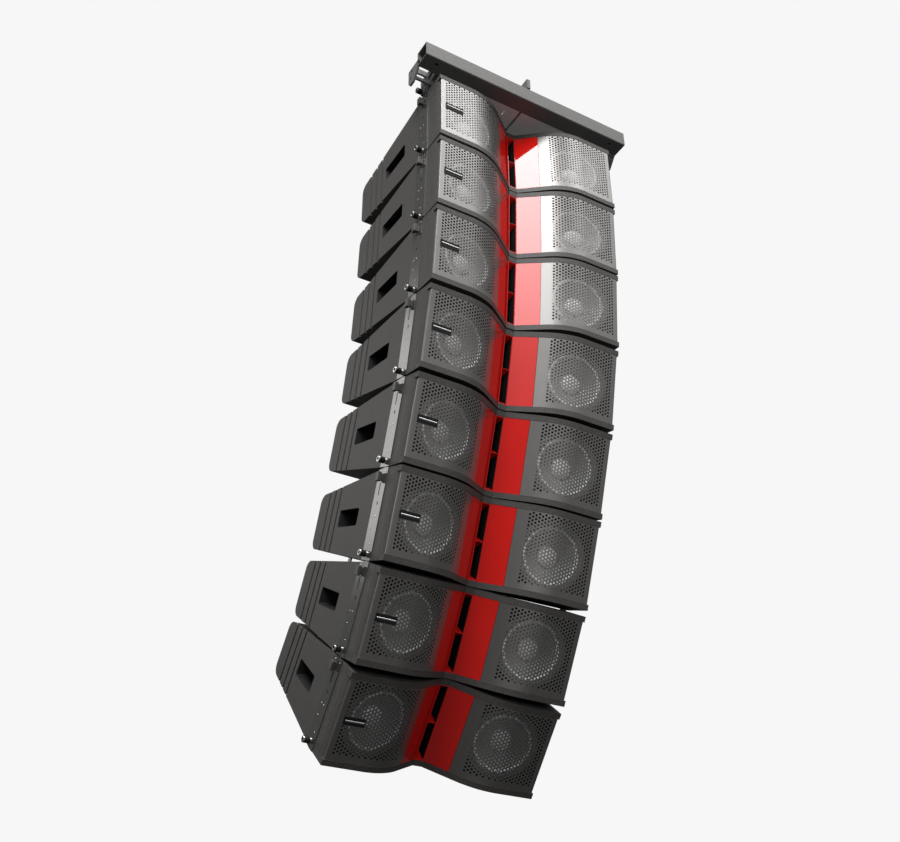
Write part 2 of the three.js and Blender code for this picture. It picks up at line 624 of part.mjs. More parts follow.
// The pick-up plate straddles the spine bar and carries the shackle above it.
function pickupSolid() {
  const inner = SPINE_THICKNESS / 2 + PICKUP_CLEARANCE;
  const outer = inner + PICKUP_PLATE;
  const front = PICKUP_FROM_FRONT - PICKUP_LENGTH / 2;
  const rear = PICKUP_FROM_FRONT + PICKUP_LENGTH / 2;
  const outline = [
    [front, SPINE_BAR_TOP - PICKUP_OVERLAP],
    [rear, SPINE_BAR_TOP - PICKUP_OVERLAP],
    [rear, SPINE_BAR_TOP + PICKUP_PLATE],
    ...arc(PICKUP_FROM_FRONT, SHACKLE_HEIGHT, SHACKLE_EDGE, 0, Math.PI, 8),
    [front, SPINE_BAR_TOP + PICKUP_PLATE],
  ];
  return cut(sidePrism(outline, -outer, outer), [
    block(-inner, inner, front - OVERSHOOT, rear + OVERSHOOT,
      SPINE_BAR_TOP - PICKUP_OVERLAP - OVERSHOOT, SPINE_BAR_TOP + PICKUP_CLEARANCE),
    barX(SHACKLE_HOLE_DIAMETER / 2, -outer - REACH_IN, outer + REACH_IN, PICKUP_FROM_FRONT, SHACKLE_HEIGHT),
  ]);
}

// ---- assembly ---------------------------------------------------------------------------------

const finish = {
  textured: { color: 0x4a4a46, roughness: 0.8, metalness: 0.0 },
  grille: { color: 0x55564f, roughness: 0.35, metalness: 0.6 },
  horn: { color: 0xb01812, roughness: 0.25, metalness: 0.0 },
  driver: { color: 0x26262a, roughness: 0.6, metalness: 0.2 },
  steel: { color: 0x7c7d77, roughness: 0.45, metalness: 0.7 },
  pin: { color: 0x1c1c1e, roughness: 0.4, metalness: 0.5 },
};

function part(name, body, look) {
  const mesh = body.getMesh();
  const geometry = new THREE.BufferGeometry();
  geometry.setAttribute('position', new THREE.BufferAttribute(new Float32Array(mesh.vertProperties), 3));
  geometry.setIndex(new THREE.BufferAttribute(new Uint32Array(mesh.triVerts), 1));
  geometry.computeVertexNormals();
  const piece = new THREE.Mesh(geometry, new THREE.MeshStandardMaterial(finish[look]));
  piece.name = name;
  return piece;
}

function cabinetGroup(number, solids) {
  const group = new THREE.Group();
  group.add(
    part(`cabinet_${number}`, solids.cabinet, 'textured'),
    part(`driver_baffle_${number}`, solids.baffle, 'driver'),
    part(`waveguide_${number}`, solids.waveguide, 'horn'),
    part(`grille_left_${number}`, solids.grilleLeft, 'grille'),
    part(`grille_right_${number}`, solids.grilleRight, 'grille'),
    part(`pin_left_${number}`, solids.pinLeft, 'pin'),
    part(`pin_right_${number}`, solids.pinRight, 'pin'),
  );
  return group;
}

const array = new THREE.Group();
const flyFrame = new THREE.Group();
flyFrame.position.set(0, -PICKUP_FROM_FRONT, -SHACKLE_HEIGHT);
flyFrame.add(
  part('fly_bar', flyBarSolid(), 'steel'),
  part('pickup_plate', pickupSolid(), 'steel'),
  part('fly_pin_left', pinSolid(-1, flyPinZ), 'pin'),
  part('fly_pin_right', pinSolid(1, flyPinZ), 'pin'),
);
array.add(flyFrame);

const cabinetSolids = {
  cabinet: cabinetSolid(),
  baffle: driverBaffleSolid(),
  waveguide: waveguideSolid(),
  grilleLeft: grilleSolid(-1),
  grilleRight: grilleSolid(1),
  pinLeft: pinSolid(-1, LOWER_PIN.z),
  pinRight: pinSolid(1, LOWER_PIN.z),
};

let above = flyFrame;
let hingeInAbove = new THREE.Vector3(0, PIN_FROM_FRONT, flyPinZ);
SPLAY_ANGLES.forEach((splay, index) => {
  const hinge = new THREE.Group();
  hinge.position.copy(hingeInAbove);
  hinge.rotation.x = radians(splay);
  const cabinet = cabinetGroup(index + 1, cabinetSolids);
  cabinet.position.copy(UPPER_PIN).negate();
  hinge.add(cabinet);
  above.add(hinge);
  above = cabinet;
  hingeInAbove = LOWER_PIN;
});

export default array;
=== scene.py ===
# %% [markdown]
# A line array is a column of loudspeaker cabinets that hangs from one steel frame, the fly bar.
# This lesson dresses a working CAD model of one. The CAD says where every piece is and how it
# moves, and Blender gives each piece its fine shape and its finish.
# We start by loading the CAD as a fixed frame.

import json
import math

import bpy
import numpy as np
from mathutils import Matrix, Vector


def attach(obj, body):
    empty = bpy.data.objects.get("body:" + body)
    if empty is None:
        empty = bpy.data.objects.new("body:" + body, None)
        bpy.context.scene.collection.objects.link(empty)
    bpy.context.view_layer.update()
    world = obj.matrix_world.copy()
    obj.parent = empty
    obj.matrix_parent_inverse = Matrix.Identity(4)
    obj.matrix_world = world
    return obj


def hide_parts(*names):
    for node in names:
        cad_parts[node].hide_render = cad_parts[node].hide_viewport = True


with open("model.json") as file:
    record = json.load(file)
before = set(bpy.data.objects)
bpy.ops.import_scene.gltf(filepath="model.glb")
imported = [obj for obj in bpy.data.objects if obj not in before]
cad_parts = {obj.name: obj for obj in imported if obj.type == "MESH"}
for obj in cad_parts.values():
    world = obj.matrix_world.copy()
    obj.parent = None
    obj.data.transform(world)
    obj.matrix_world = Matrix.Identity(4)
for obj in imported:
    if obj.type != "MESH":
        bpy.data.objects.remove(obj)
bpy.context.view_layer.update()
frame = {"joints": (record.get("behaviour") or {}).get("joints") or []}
scene = bpy.context.scene
joints = {joint["name"]: joint for joint in frame["joints"]}

# %% [markdown]
# All eight cabinets are alike, so every piece of a cabinet is made once, in the cabinet's own
# frame: x across, y to the rear from the front face, z up from mid height. Its size comes from
# the drivers inside it: a ten inch woofer on each side of a horn.

# %% Driving sizes, in metres
MM = 0.001
WOOFER_FRAME = 244 * MM
BAFFLE_MARGIN = 26 * MM
HORN_HALF = 89 * MM
PANEL = 20 * MM
SIDE_PANEL = 15 * MM
SIDE_EDGE = 5 * MM
HEADROOM = 12 * MM
DEPTH = 633 * MM
TAPER_START = 123 * MM
TAPER = math.radians(6.2)
REAR_RADIUS = 35 * MM
SEAM = 2 * MM
PIN_Y = 131 * MM
PIN_RISE = 22 * MM
SHOULDER_INSET = 140 * MM
SHOULDER_RADIUS = 227 * MM
FLANK = math.radians(38)
VALLEY_HALF = 17 * MM
GAP = 0.4 * MM

GRILLE_OUTER = HORN_HALF + WOOFER_FRAME + 2 * BAFFLE_MARGIN
HALF_WIDTH = GRILLE_OUTER + SIDE_EDGE
HALF_HEIGHT = WOOFER_FRAME / 2 + HEADROOM + PANEL
CAVITY_HEIGHT = HALF_HEIGHT - PANEL
CAVITY_HALF = HALF_WIDTH - SIDE_PANEL
SHOULDER_X = HALF_WIDTH - SHOULDER_INSET
CABINETS = range(1, 9)
SIDES = (("left", -1), ("right", 1))
print("cabinet", round(2 * HALF_WIDTH, 3), "x", round(DEPTH, 3), "x", round(2 * HALF_HEIGHT, 3), "m")

# %% [markdown]
# Each cabinet hangs on the pins of the one above. A splay joint's lower limit is the straight
# array, so minus that limit is the angle the cabinet has at rest, and the angles add up down the
# array. With the hinge's place, that gives each cabinet's matrix.

# %% Cabinet frames from the joints
UPPER_PIN = np.array([0.0, PIN_Y, HALF_HEIGHT + SEAM + PIN_RISE])


def cabinet_matrices():
    """For each cabinet: turn by the summed splay about X, then move its upper pin to the hinge."""
    matrices, tilt = {}, 0.0
    for number in CABINETS:
        joint = joints[f"splay_{number}"]
        tilt -= math.radians(joint["range_deg"][0])
        turn = np.array(Matrix.Rotation(tilt, 3, "X"))
        matrix = np.eye(4)
        matrix[:3, :3] = turn
        matrix[:3, 3] = np.array(joint["pos_m"]) - turn @ UPPER_PIN
        matrices[number] = matrix
    return matrices


CABINET_FRAME = cabinet_matrices()
print("tilt of the lowest cabinet", round(math.degrees(math.asin(CABINET_FRAME[8][2, 1])), 2), "degrees")

# %% [markdown]
# Every shape below is a grid of points worked out at once with numpy. These helpers turn such a
# grid into faces, make a mesh of it, and let modifiers such as Bevel finish it before it is
# copied to its place. The finished copy's object stays at the origin, and its place is in its mesh.

# %% Mesh helpers
def grid_faces(rows, columns, close_rows=False, close_columns=False, start=0):
    """Quads between neighbours on a grid of points numbered row by row."""
    r = np.arange(rows if close_rows else rows - 1)
    c = np.arange(columns if close_columns else columns - 1)
    a, b = np.meshgrid(r, c, indexing="ij")
    next_r, next_c = (a + 1) % rows, (b + 1) % columns
    corners = [a * columns + b, a * columns + next_c, next_r * columns + next_c, next_r * columns + b]
    return (np.stack(corners, -1).reshape(-1, 4) + start).tolist()


def added(name, data):
    """A new object with the given data, in the scene."""
    made = bpy.data.objects.new(name, data)
    scene.collection.objects.link(made)
    return made


def mesh_object(name, points, faces):
    mesh = bpy.data.meshes.new(name)
    mesh.from_pydata(np.asarray(points, float).reshape(-1, 3).tolist(), [], faces)
    return added(name, mesh)


def template(*parts, bevel=0.0, segments=2, cutters=(), solidify=0.0, smooth=35):
    """A finished mesh in its own frame: the (points, faces) parts as one, cut, thickened and bevelled."""
    holder = mesh_object("template", *merged(*parts))
    helpers = [add_cutter(holder, cutter) for cutter in cutters]
    if solidify:
        thick = holder.modifiers.new("thickness", "SOLIDIFY")
        thick.thickness = solidify
        thick.offset = -1
    if bevel:
        edge = holder.modifiers.new("edges", "BEVEL")
        edge.width = bevel
        edge.segments = segments
        edge.limit_method = "ANGLE"
        edge.angle_limit = math.radians(38)
    holder.data = shaped = applied(holder)
    shaped.polygons.foreach_set("use_smooth", np.ones(len(shaped.polygons), bool))
    shaped.set_sharp_from_angle(angle=math.radians(smooth))
    holder.modifiers.clear()
    holder.modifiers.new("even shading", "WEIGHTED_NORMAL").keep_sharp = True
    finished = applied(holder)
    for extra in (*helpers, holder):
        bpy.data.objects.remove(extra)
    return finished


def applied(holder):
    """The holder's mesh with its modifiers worked in."""
    bpy.context.view_layer.update()
    graph = bpy.context.evaluated_depsgraph_get()
    return bpy.data.meshes.new_from_object(holder.evaluated_get(graph))


def add_cutter(holder, cutter):
    """Cuts the holder with a closed (points, faces) solid, or keeps only what lies in it."""
    operation = "DIFFERENCE"
    if isinstance(cutter[0], str):
        operation, cutter = cutter
    tool = mesh_object("cutter", *cutter)
    cut = holder.modifiers.new("cut", "BOOLEAN")
    cut.operation = operation
    cut.solver = "EXACT"
    cut.object = tool
    return tool


def place(name, mesh, body, material, matrix=None, replaces=()):
    """Copies a finished mesh into the row frame as a piece that rides on a body."""
    copy = mesh.copy()
    if matrix is not None:
        copy.transform(Matrix(np.asarray(matrix).tolist()))
    copy.materials.clear()
    copy.materials.append(material)
    piece = added(name, copy)
    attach(piece, body)
    if replaces:
        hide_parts(*replaces)
    return piece


def merged(*parts):
    """Several (points, faces) as one."""
    points, faces, start = [], [], 0
    for part_points, part_faces in parts:
        part_points = np.asarray(part_points, float).reshape(-1, 3)
        points.append(part_points)
        faces += [[int(i) + start for i in face] for face in part_faces]
        start += len(part_points)
    return np.vstack(points), faces


# %% [markdown]
# Three ways of making a solid cover nearly everything here. A prism carries a flat outline
# straight along an axis. A loft joins rings of equal length, one behind the other. A turned
# piece carries a profile round an axis. Outlines with round ends come from arcs.

# %% Prisms, lofts and turned pieces
def outline_area(outline):
    x, y = np.asarray(outline, float).T
    return float(np.sum(x * np.roll(y, -1) - np.roll(x, -1) * y) / 2)


def prism(outline, low, high, axis="z"):
    """An outline of (u, v) carried from low to high along an axis, with flat ends."""
    ring = np.asarray(outline, float)
    if outline_area(ring) < 0:
        ring = ring[::-1]
    n = len(ring)
    ends = [np.column_stack([ring, np.full(n, w)]) for w in (low, high)]
    points = np.vstack(ends)
    if axis == "x":
        points = points[:, [2, 0, 1]]
    if axis == "y":
        points = points[:, [1, 2, 0]]
    faces = [[i, (i + 1) % n, (i + 1) % n + n, i + n] for i in range(n)]
    return points, [*faces, list(range(n - 1, -1, -1)), list(range(n, 2 * n))]


def loft(rings, cap_first=True, cap_last=True):
    """Rings of equal length joined in order. Turned the right way, its faces point outwards."""
    rings = [np.asarray(ring, float) for ring in rings]
    n = len(rings[0])
    faces = grid_faces(len(rings), n, close_columns=True)
    if cap_first:
        faces.append(list(range(n - 1, -1, -1)))
    if cap_last:
        faces.append([(len(rings) - 1) * n + i for i in range(n)])
    return np.vstack(rings), faces


def turned(profile, segments=32, axis="y", loop=False):
    """A profile of (radius, distance) in mm carried round the axis: a ring if a loop, or capped."""
    profile = np.asarray(profile, float) * MM
    if outline_area(profile) < 0:
        profile = profile[::-1]
    angle = np.linspace(0, 2 * np.pi, segments, endpoint=False)
    radius, along = profile[:, :1], np.repeat(profile[:, 1:], segments, 1)
    u, v = radius * np.cos(angle), radius * np.sin(angle)
    order = {"x": (along, u, v), "y": (v, along, u), "z": (u, v, along)}[axis]
    points = np.stack(order, -1).reshape(-1, 3)
    rings = len(profile)
    faces = grid_faces(rings, segments, close_rows=loop, close_columns=True)
    if loop:
        return points, faces
    first, last = list(range(segments)), [(rings - 1) * segments + i for i in range(segments)]
    return points, [*faces, first[::-1], last]


def arc(centre, radius, start, stop, steps):
    """Points on part of a circle, angles in degrees."""
    angle = np.radians(np.linspace(start, stop, steps + 1))
    return np.column_stack([centre[0] + radius * np.cos(angle), centre[1] + radius * np.sin(angle)])


def rounded(u0, u1, v0, v1, radius, steps=4):
    """A rectangle with round corners, anticlockwise."""
    corners = [((u1 - radius, v0 + radius), -90), ((u1 - radius, v1 - radius), 0),
               ((u0 + radius, v1 - radius), 90), ((u0 + radius, v0 + radius), 180)]
    return np.vstack([arc(centre, radius, start, start + 90, steps) for centre, start in corners])


def flipped(part):
    """The same faces, turned the other way round."""
    return part[0], [face[::-1] for face in part[1]]


def moved(part, matrix):
    """A (points, faces) pair carried by a 4 x 4 matrix."""
    matrix = np.asarray(matrix, float)
    return np.asarray(part[0], float) @ matrix[:3, :3].T + matrix[:3, 3], part[1]


def shift(x=0.0, y=0.0, z=0.0):
    return np.array(Matrix.Translation((x, y, z)))


# %% [markdown]
# A material is a small graph. Writing it node by node is long, so this class wraps a node's output
# and lets ordinary arithmetic add Math nodes: `1 - noise * 0.4` makes two of them.

# %% Materials by arithmetic
class Value:
    """A node's output that can be added, subtracted, multiplied and raised as e to its power."""

    def __init__(self, graph, socket):
        self.graph, self.socket = graph, socket

    def _math(self, operation, first, second=0.0):
        return self.graph.node("ShaderNodeMath", {"operation": operation}, {0: first, 1: second})

    def __add__(self, other):
        return self._math("ADD", self, other)

    def __sub__(self, other):
        return self._math("SUBTRACT", self, other)

    def __rsub__(self, other):
        return self._math("SUBTRACT", other, self)

    def __mul__(self, other):
        return self._math("MULTIPLY", self, other)

    def exp(self):
        return self._math("EXPONENT", self)

    __radd__, __rmul__ = __add__, __mul__


class Graph:
    """The node tree of a material or a world."""

    def __init__(self, tree):
        self.tree = tree

    def node(self, kind, settings=None, inputs=None, output=0):
        """Adds a node with the given settings and inputs, and returns one of its outputs."""
        made = self.tree.nodes.new(kind)
        for key, value in (settings or {}).items():
            setattr(made, key, value)
        for key, value in (inputs or {}).items():
            if isinstance(value, Value):
                self.tree.links.new(value.socket, made.inputs[key])
            else:
                made.inputs[key].default_value = value
        return Value(self, made.outputs[output])

    def clamp(self, value):
        return self.node("ShaderNodeClamp", {}, {0: value})


class Look(Graph):
    """One material. Constants go on the shader's sockets, and varying values are fed to them."""

    def __init__(self, name, **constants):
        self.material = bpy.data.materials.new(name)
        self.material.use_nodes = True
        super().__init__(self.material.node_tree)
        self.shader = self.tree.nodes["Principled BSDF"]
        for key, value in constants.items():
            self.shader.inputs[key.replace("_", " ")].default_value = value

    def feed(self, socket, value):
        self.tree.links.new(value.socket, self.shader.inputs[socket])

    def noise(self, scale, detail=2.0, roughness=0.5):
        """Noise in metres of object space, so the grain is the same on every piece."""
        where = self.node("ShaderNodeTexCoord", output=3)
        return self.node("ShaderNodeTexNoise", {}, {"Vector": where, "Scale": scale, "Detail": detail,
                                                    "Roughness": roughness})

    def grains(self, scale, sharpness):
        """Noise spread out from its narrow middle until it reads as separate grains."""
        return self.clamp((self.noise(scale, 2.0, 0.6) - 0.5) * sharpness + 0.5)

    def ramp(self, factor, dark, light):
        """A colour between two, by a factor from 0 to 1."""
        return self.node("ShaderNodeMix", {"data_type": "RGBA"}, {0: factor, 6: dark, 7: light}, output=2)

    def bump(self, height, strength, distance):
        self.feed("Normal", self.node("ShaderNodeBump", {}, {"Height": height, "Strength": strength,
                                                             "Distance": distance}))


def grey(level, warm=0.0):
    return (level * (1 + warm), level, level * (1 - warm), 1.0)


# %% [markdown]
# The cabinets wear a textured paint: hard grains under a matt coat. The horn is glossy red
# plastic, the grille satin metal, the rigging smooth steel, and the fly bar painted steel. The gusset's
# steel is made much lighter as painted light, so its shaded underside looks lit.

# %% The finishes
def textured_paint():
    look = Look("textured paint", Roughness=0.5, Specular_IOR_Level=0.5)
    grain = look.grains(430.0, 3.2)
    look.feed("Base Color", look.ramp(grain, grey(0.026, 0.05), grey(0.076, 0.05)))
    look.bump(grain, 0.3, 0.0004)
    return look.material


def painted_metal(name, level, roughness, metallic, warm=0.02, grain=0.08):
    look = Look(name, Metallic=metallic)
    wear = look.noise(35.0, 4.0)
    look.feed("Base Color", look.ramp(wear, grey(level * (1 - grain), warm), grey(level * (1 + grain), warm)))
    look.feed("Roughness", look.noise(180.0) * 0.14 + (roughness - 0.07))
    return look.material


def glossy_red():
    look = Look("red gloss", Roughness=0.5, Specular_IOR_Level=0.0, Coat_Weight=0.8, Coat_Roughness=0.05,
                Coat_IOR=2.0)
    depth = look.noise(6.0)
    look.feed("Base Color", look.ramp(depth, (0.45, 0.006, 0.004, 1), (0.52, 0.009, 0.006, 1)))
    return look.material


def plain(name, level, roughness, metallic=0.0, warm=0.0, scale=60.0, **constants):
    look = Look(name, Metallic=metallic, **constants)
    soft = look.noise(scale)
    look.feed("Base Color", look.ramp(soft, grey(level * 0.9, warm), grey(level * 1.1, warm)))
    look.feed("Roughness", soft * 0.1 + (roughness - 0.05))
    return look.material


PAINT = textured_paint()
GRILLE = painted_metal("grille metal", 0.33, 0.36, 0.9, warm=0.03, grain=0.03)
RED = glossy_red()
STEEL = painted_metal("painted steel", 0.12, 0.5, 0.1)
# painted light: a much lighter copy of the fly bar's steel, so the gusset's shaded underside looks lit
PAINTED_LIGHT_GUSSET = painted_metal("plate steel painted light", 0.55, 0.6, 0.0)
STRIP = painted_metal("rigging steel", 0.30, 0.13, 0.9)
KNOB = painted_metal("knob steel", 0.12, 0.40, 0.6)
BLACK = plain("black plastic", 0.012, 0.5, Specular_IOR_Level=0.2)
# black for the baffle, and also for the sheets of painted shade in the horn's slots
BAFFLE_AND_SHADE_BLACK = plain("black baffle and painted shade", 0.006, 0.85, Specular_IOR_Level=0.1)
CONE = plain("cone", 0.27, 0.30, metallic=0.3)
CAP = plain("dust cap", 0.80, 0.26, metallic=0.4)
# painted highlight: the surround's rubber is made light grey so its bright ring shows through the grille
PAINTED_HIGHLIGHT_RUBBER = plain("surround rubber with painted highlight", 0.46, 0.35)
BASKET = plain("basket metal", 0.20, 0.45, metallic=0.7)
CHROME = plain("bright steel", 0.82, 0.16, metallic=1.0)
ALUMINIUM = plain("amplifier plate", 0.06, 0.42, metallic=0.6, scale=300.0)
print("materials", len(bpy.data.materials))

# %% [markdown]
# Seen from above, the front of a cabinet runs level over the woofer, bends round a shoulder, and
# runs down a straight flank into the valley of the horn. Grille, horn and frame all follow this
# one line, each set back a little.

# %% The front line
def front_y(x, setback=0.0):
    """Level to the shoulder, then the shoulder's circle, then the flank, held flat in the valley."""
    reach = np.maximum(np.abs(np.asarray(x, float)), VALLEY_HALF)
    radius = SHOULDER_RADIUS - setback
    tangent = SHOULDER_X - radius * np.sin(FLANK)
    circle = SHOULDER_RADIUS - np.sqrt(np.maximum(radius**2 - (SHOULDER_X - reach) ** 2, 0))
    flank = SHOULDER_RADIUS - radius * np.cos(FLANK) + (tangent - reach) * np.tan(FLANK)
    return np.where(reach >= SHOULDER_X, setback, np.where(reach >= tangent, circle, flank))


def front_line(inner, outer, setback=0.0, steps=16):
    """(x, y) from inner to outer: equal turns round the shoulder, with the ends and the valley's edge."""
    radius = SHOULDER_RADIUS - setback
    bend = SHOULDER_X - radius * np.sin(np.linspace(FLANK, 0, steps + 1))
    x = np.concatenate([[inner, VALLEY_HALF], bend, [outer]])
    x = np.unique(x[(x >= inner) & (x <= outer)])
    return np.column_stack([x, front_y(x, setback)])


def mirrored(outline):
    return (np.asarray(outline, float) * [-1, 1])[::-1]


def side_outline(half_height, front, rear, radius, steps=8):
    """(y, z) of the cabinet from the side: level, then tapering to a rear with round corners."""
    rear_half = half_height - (rear - TAPER_START) * math.tan(TAPER)
    if radius:
        centre = (rear - radius, rear_half - radius + radius * math.tan(TAPER) / 2)
        upper = arc(centre, radius, 0, 90 - math.degrees(TAPER), steps)
    else:
        upper = np.array([[rear, rear_half]])
    upper = np.vstack([upper, [[TAPER_START, half_height], [front, half_height]]])
    return np.vstack([(upper * [1, -1])[::-1], upper])


half_plan = front_line(0.0, HALF_WIDTH)
print("front line points", len(half_plan), "valley depth", round(float(front_y(0)), 3))

# %% [markdown]
# The enclosure is one block with the plan of the front line and the outline of the tapered side.
# Boolean modifiers take out the inside, the handles, three grooves, the corner behind the grille
# and the sockets of the links. A bevel then rounds every edge.

# %% The enclosure
HANDLE_Y, HANDLE_HALF, HANDLE_RISE = DEPTH - 282 * MM, 80 * MM, 30.5 * MM
GROOVES = [DEPTH - far * MM for far in (78, 126, 173)]
LINK_IN, LINK_OUT, LINK_HALF, LINK_FOOT = 374 * MM, 384 * MM, 14 * MM, 128 * MM
LOWER_Z, UPPER_Z = -HALF_HEIGHT + PIN_RISE, HALF_HEIGHT + SEAM + PIN_RISE
CHANNEL_X, CHANNEL_HALF, CHANNEL_FLOOR = 236 * MM, 9 * MM, DEPTH - 52 * MM
PIN_HOLE = 6.4 * MM
AMP_FLOOR, AMP_HALF_X, AMP_HALF_Z = DEPTH - 8 * MM, 200 * MM, 75 * MM
# where cutters end, clear of the cabinet's side, top and rear
CLEAR_X, CLEAR_Z, CLEAR_Y = HALF_WIDTH + 20 * MM, HALF_HEIGHT + 46 * MM, DEPTH + 20 * MM


def box(x0, x1, y0, y1, z0, z1):
    return prism([[x0, y0], [x1, y0], [x1, y1], [x0, y1]], z0, z1)


def x_plate(outline, side, x0, x1):
    """A (y, z) outline carried across, on the left or the right."""
    return prism(outline, *sorted((side * x0, side * x1)), axis="x")


def sided(make):
    """The same solid made for the left and the right."""
    return [make(side) for _, side in SIDES]


def corner_cut(side):
    line = [[355 * MM, -10 * MM], [395 * MM, -10 * MM], [395 * MM, 40 * MM], [385 * MM, 12 * MM],
            [355 * MM, 12 * MM]]
    return prism(np.array(line) * [side, 1], -CAVITY_HEIGHT, CAVITY_HEIGHT)


def link_socket(side):
    """The slot that the link of the cabinet below swings in."""
    wide = LINK_HALF + 6 * MM
    foot = [[PIN_Y - wide, -CLEAR_Z], [PIN_Y + wide, -CLEAR_Z]]
    line = np.vstack([arc((PIN_Y, LOWER_Z), wide, 0, 180, 12), foot])
    return x_plate(line, side, LINK_IN - 1 * MM, LINK_OUT + 1 * MM)


def pin_hole(side, z=LOWER_Z):
    line = arc((PIN_Y, z), PIN_HOLE, 0, 345, 23)
    return x_plate(line, side, HALF_WIDTH - 24 * MM, HALF_WIDTH + 10 * MM)


def groove_cut(side, y):
    return box(side * (HALF_WIDTH - 7 * MM), side * CLEAR_X, y - 5.5 * MM, y + 5.5 * MM, -CLEAR_Z, CLEAR_Z)


def handle_cut(side):
    line = rounded(HANDLE_Y - HANDLE_HALF, HANDLE_Y + HANDLE_HALF, -HANDLE_RISE, HANDLE_RISE, 7 * MM)
    return x_plate(line, side, HALF_WIDTH - 30 * MM, CLEAR_X)


def seam_cut(side):
    """The fine joint between the side panel and the front frame."""
    return box(side * (HALF_WIDTH - 1.5 * MM), side * CLEAR_X, 41 * MM, 42.6 * MM, -CLEAR_Z, CLEAR_Z)


def channel_cut(side):
    """The rear channel that the splay arc of the cabinet below slides in."""
    x = side * CHANNEL_X
    return box(x - CHANNEL_HALF, x + CHANNEL_HALF, CHANNEL_FLOOR, CLEAR_Y, -CLEAR_Z, CLEAR_Z)


def outer_side():
    """The cabinet's side outline, carried right across, for pieces that keep within it."""
    return prism(side_outline(HALF_HEIGHT, -0.02, DEPTH, REAR_RADIUS), -0.42, 0.42, axis="x")


def enclosure():
    plan = np.vstack([mirrored(half_plan), half_plan[1:], [[HALF_WIDTH, 0.7], [-HALF_WIDTH, 0.7]]])
    block = prism(plan, -HALF_HEIGHT, HALF_HEIGHT)
    hollow = side_outline(CAVITY_HEIGHT, -0.02, DEPTH - 18 * MM, 0)
    inside = prism(hollow, -CAVITY_HALF, CAVITY_HALF, axis="x")
    recess = box(-AMP_HALF_X, AMP_HALF_X, AMP_FLOOR, CLEAR_Y, -AMP_HALF_Z, AMP_HALF_Z)
    cuts = [("INTERSECT", outer_side()), inside, recess]
    for cut in (corner_cut, link_socket, pin_hole, handle_cut, seam_cut, channel_cut):
        cuts += sided(cut)
    cuts += [groove_cut(side, y) for _, side in SIDES for y in GROOVES]
    return template(block, bevel=2.2 * MM, segments=3, cutters=cuts)


SHAPES = {"enclosure": enclosure()}
print("enclosure faces", len(SHAPES["enclosure"].polygons))

# %% [markdown]
# The grille is one sheet bent along the front line, with a field of round holes in staggered
# columns. Each hole takes a block of two by four small cells out of an even grid, and twelve faces
# join the block's edge to a twelve-sided hole. Arc length along the bent sheet keeps it all even.

# %% The perforated grille
COLUMN, PITCH, HOLE_RADIUS = 11 * MM, 12.7 * MM, 4.05 * MM
FIELD_START, COLUMNS, ROWS = 122 * MM, 23, 19
FIELD_BOTTOM = -112 * MM - PITCH / 4


def grille_path():
    """The bent sheet from the horn to the folded outer edge: arc length beside each (x, y)."""
    line = front_line(HORN_HALF + GAP, GRILLE_OUTER - 3 * MM, 1 * MM, 24)
    fold = arc((GRILLE_OUTER - 3 * MM, 4 * MM), 3 * MM, -90, 0, 5)[1:]
    line = np.vstack([line, fold, [[GRILLE_OUTER, 10 * MM]]])
    length = np.concatenate([[0], np.cumsum(np.linalg.norm(np.diff(line, axis=0), axis=1))])
    return length, line


def grid_lines(length, line):
    """Grid stations along and up the sheet: even through the hole field, sparse in the margins."""
    start = np.interp(FIELD_START, line[:, 0], length)
    field_s = start + np.arange(2 * COLUMNS + 1) * COLUMN / 2
    before = np.linspace(0, start, 5)[:-1]
    after = np.concatenate([np.linspace(field_s[-1], length[-7], 4)[1:-1], length[-7:]])
    field_z = FIELD_BOTTOM + np.arange(4 * ROWS + 3) * PITCH / 4
    edge = CAVITY_HEIGHT - GAP
    z = np.concatenate([[-edge, -edge + 9 * MM], field_z, [edge - 4 * MM, edge]])
    return np.concatenate([before, field_s, after]), np.unique(z.round(6)), len(before)


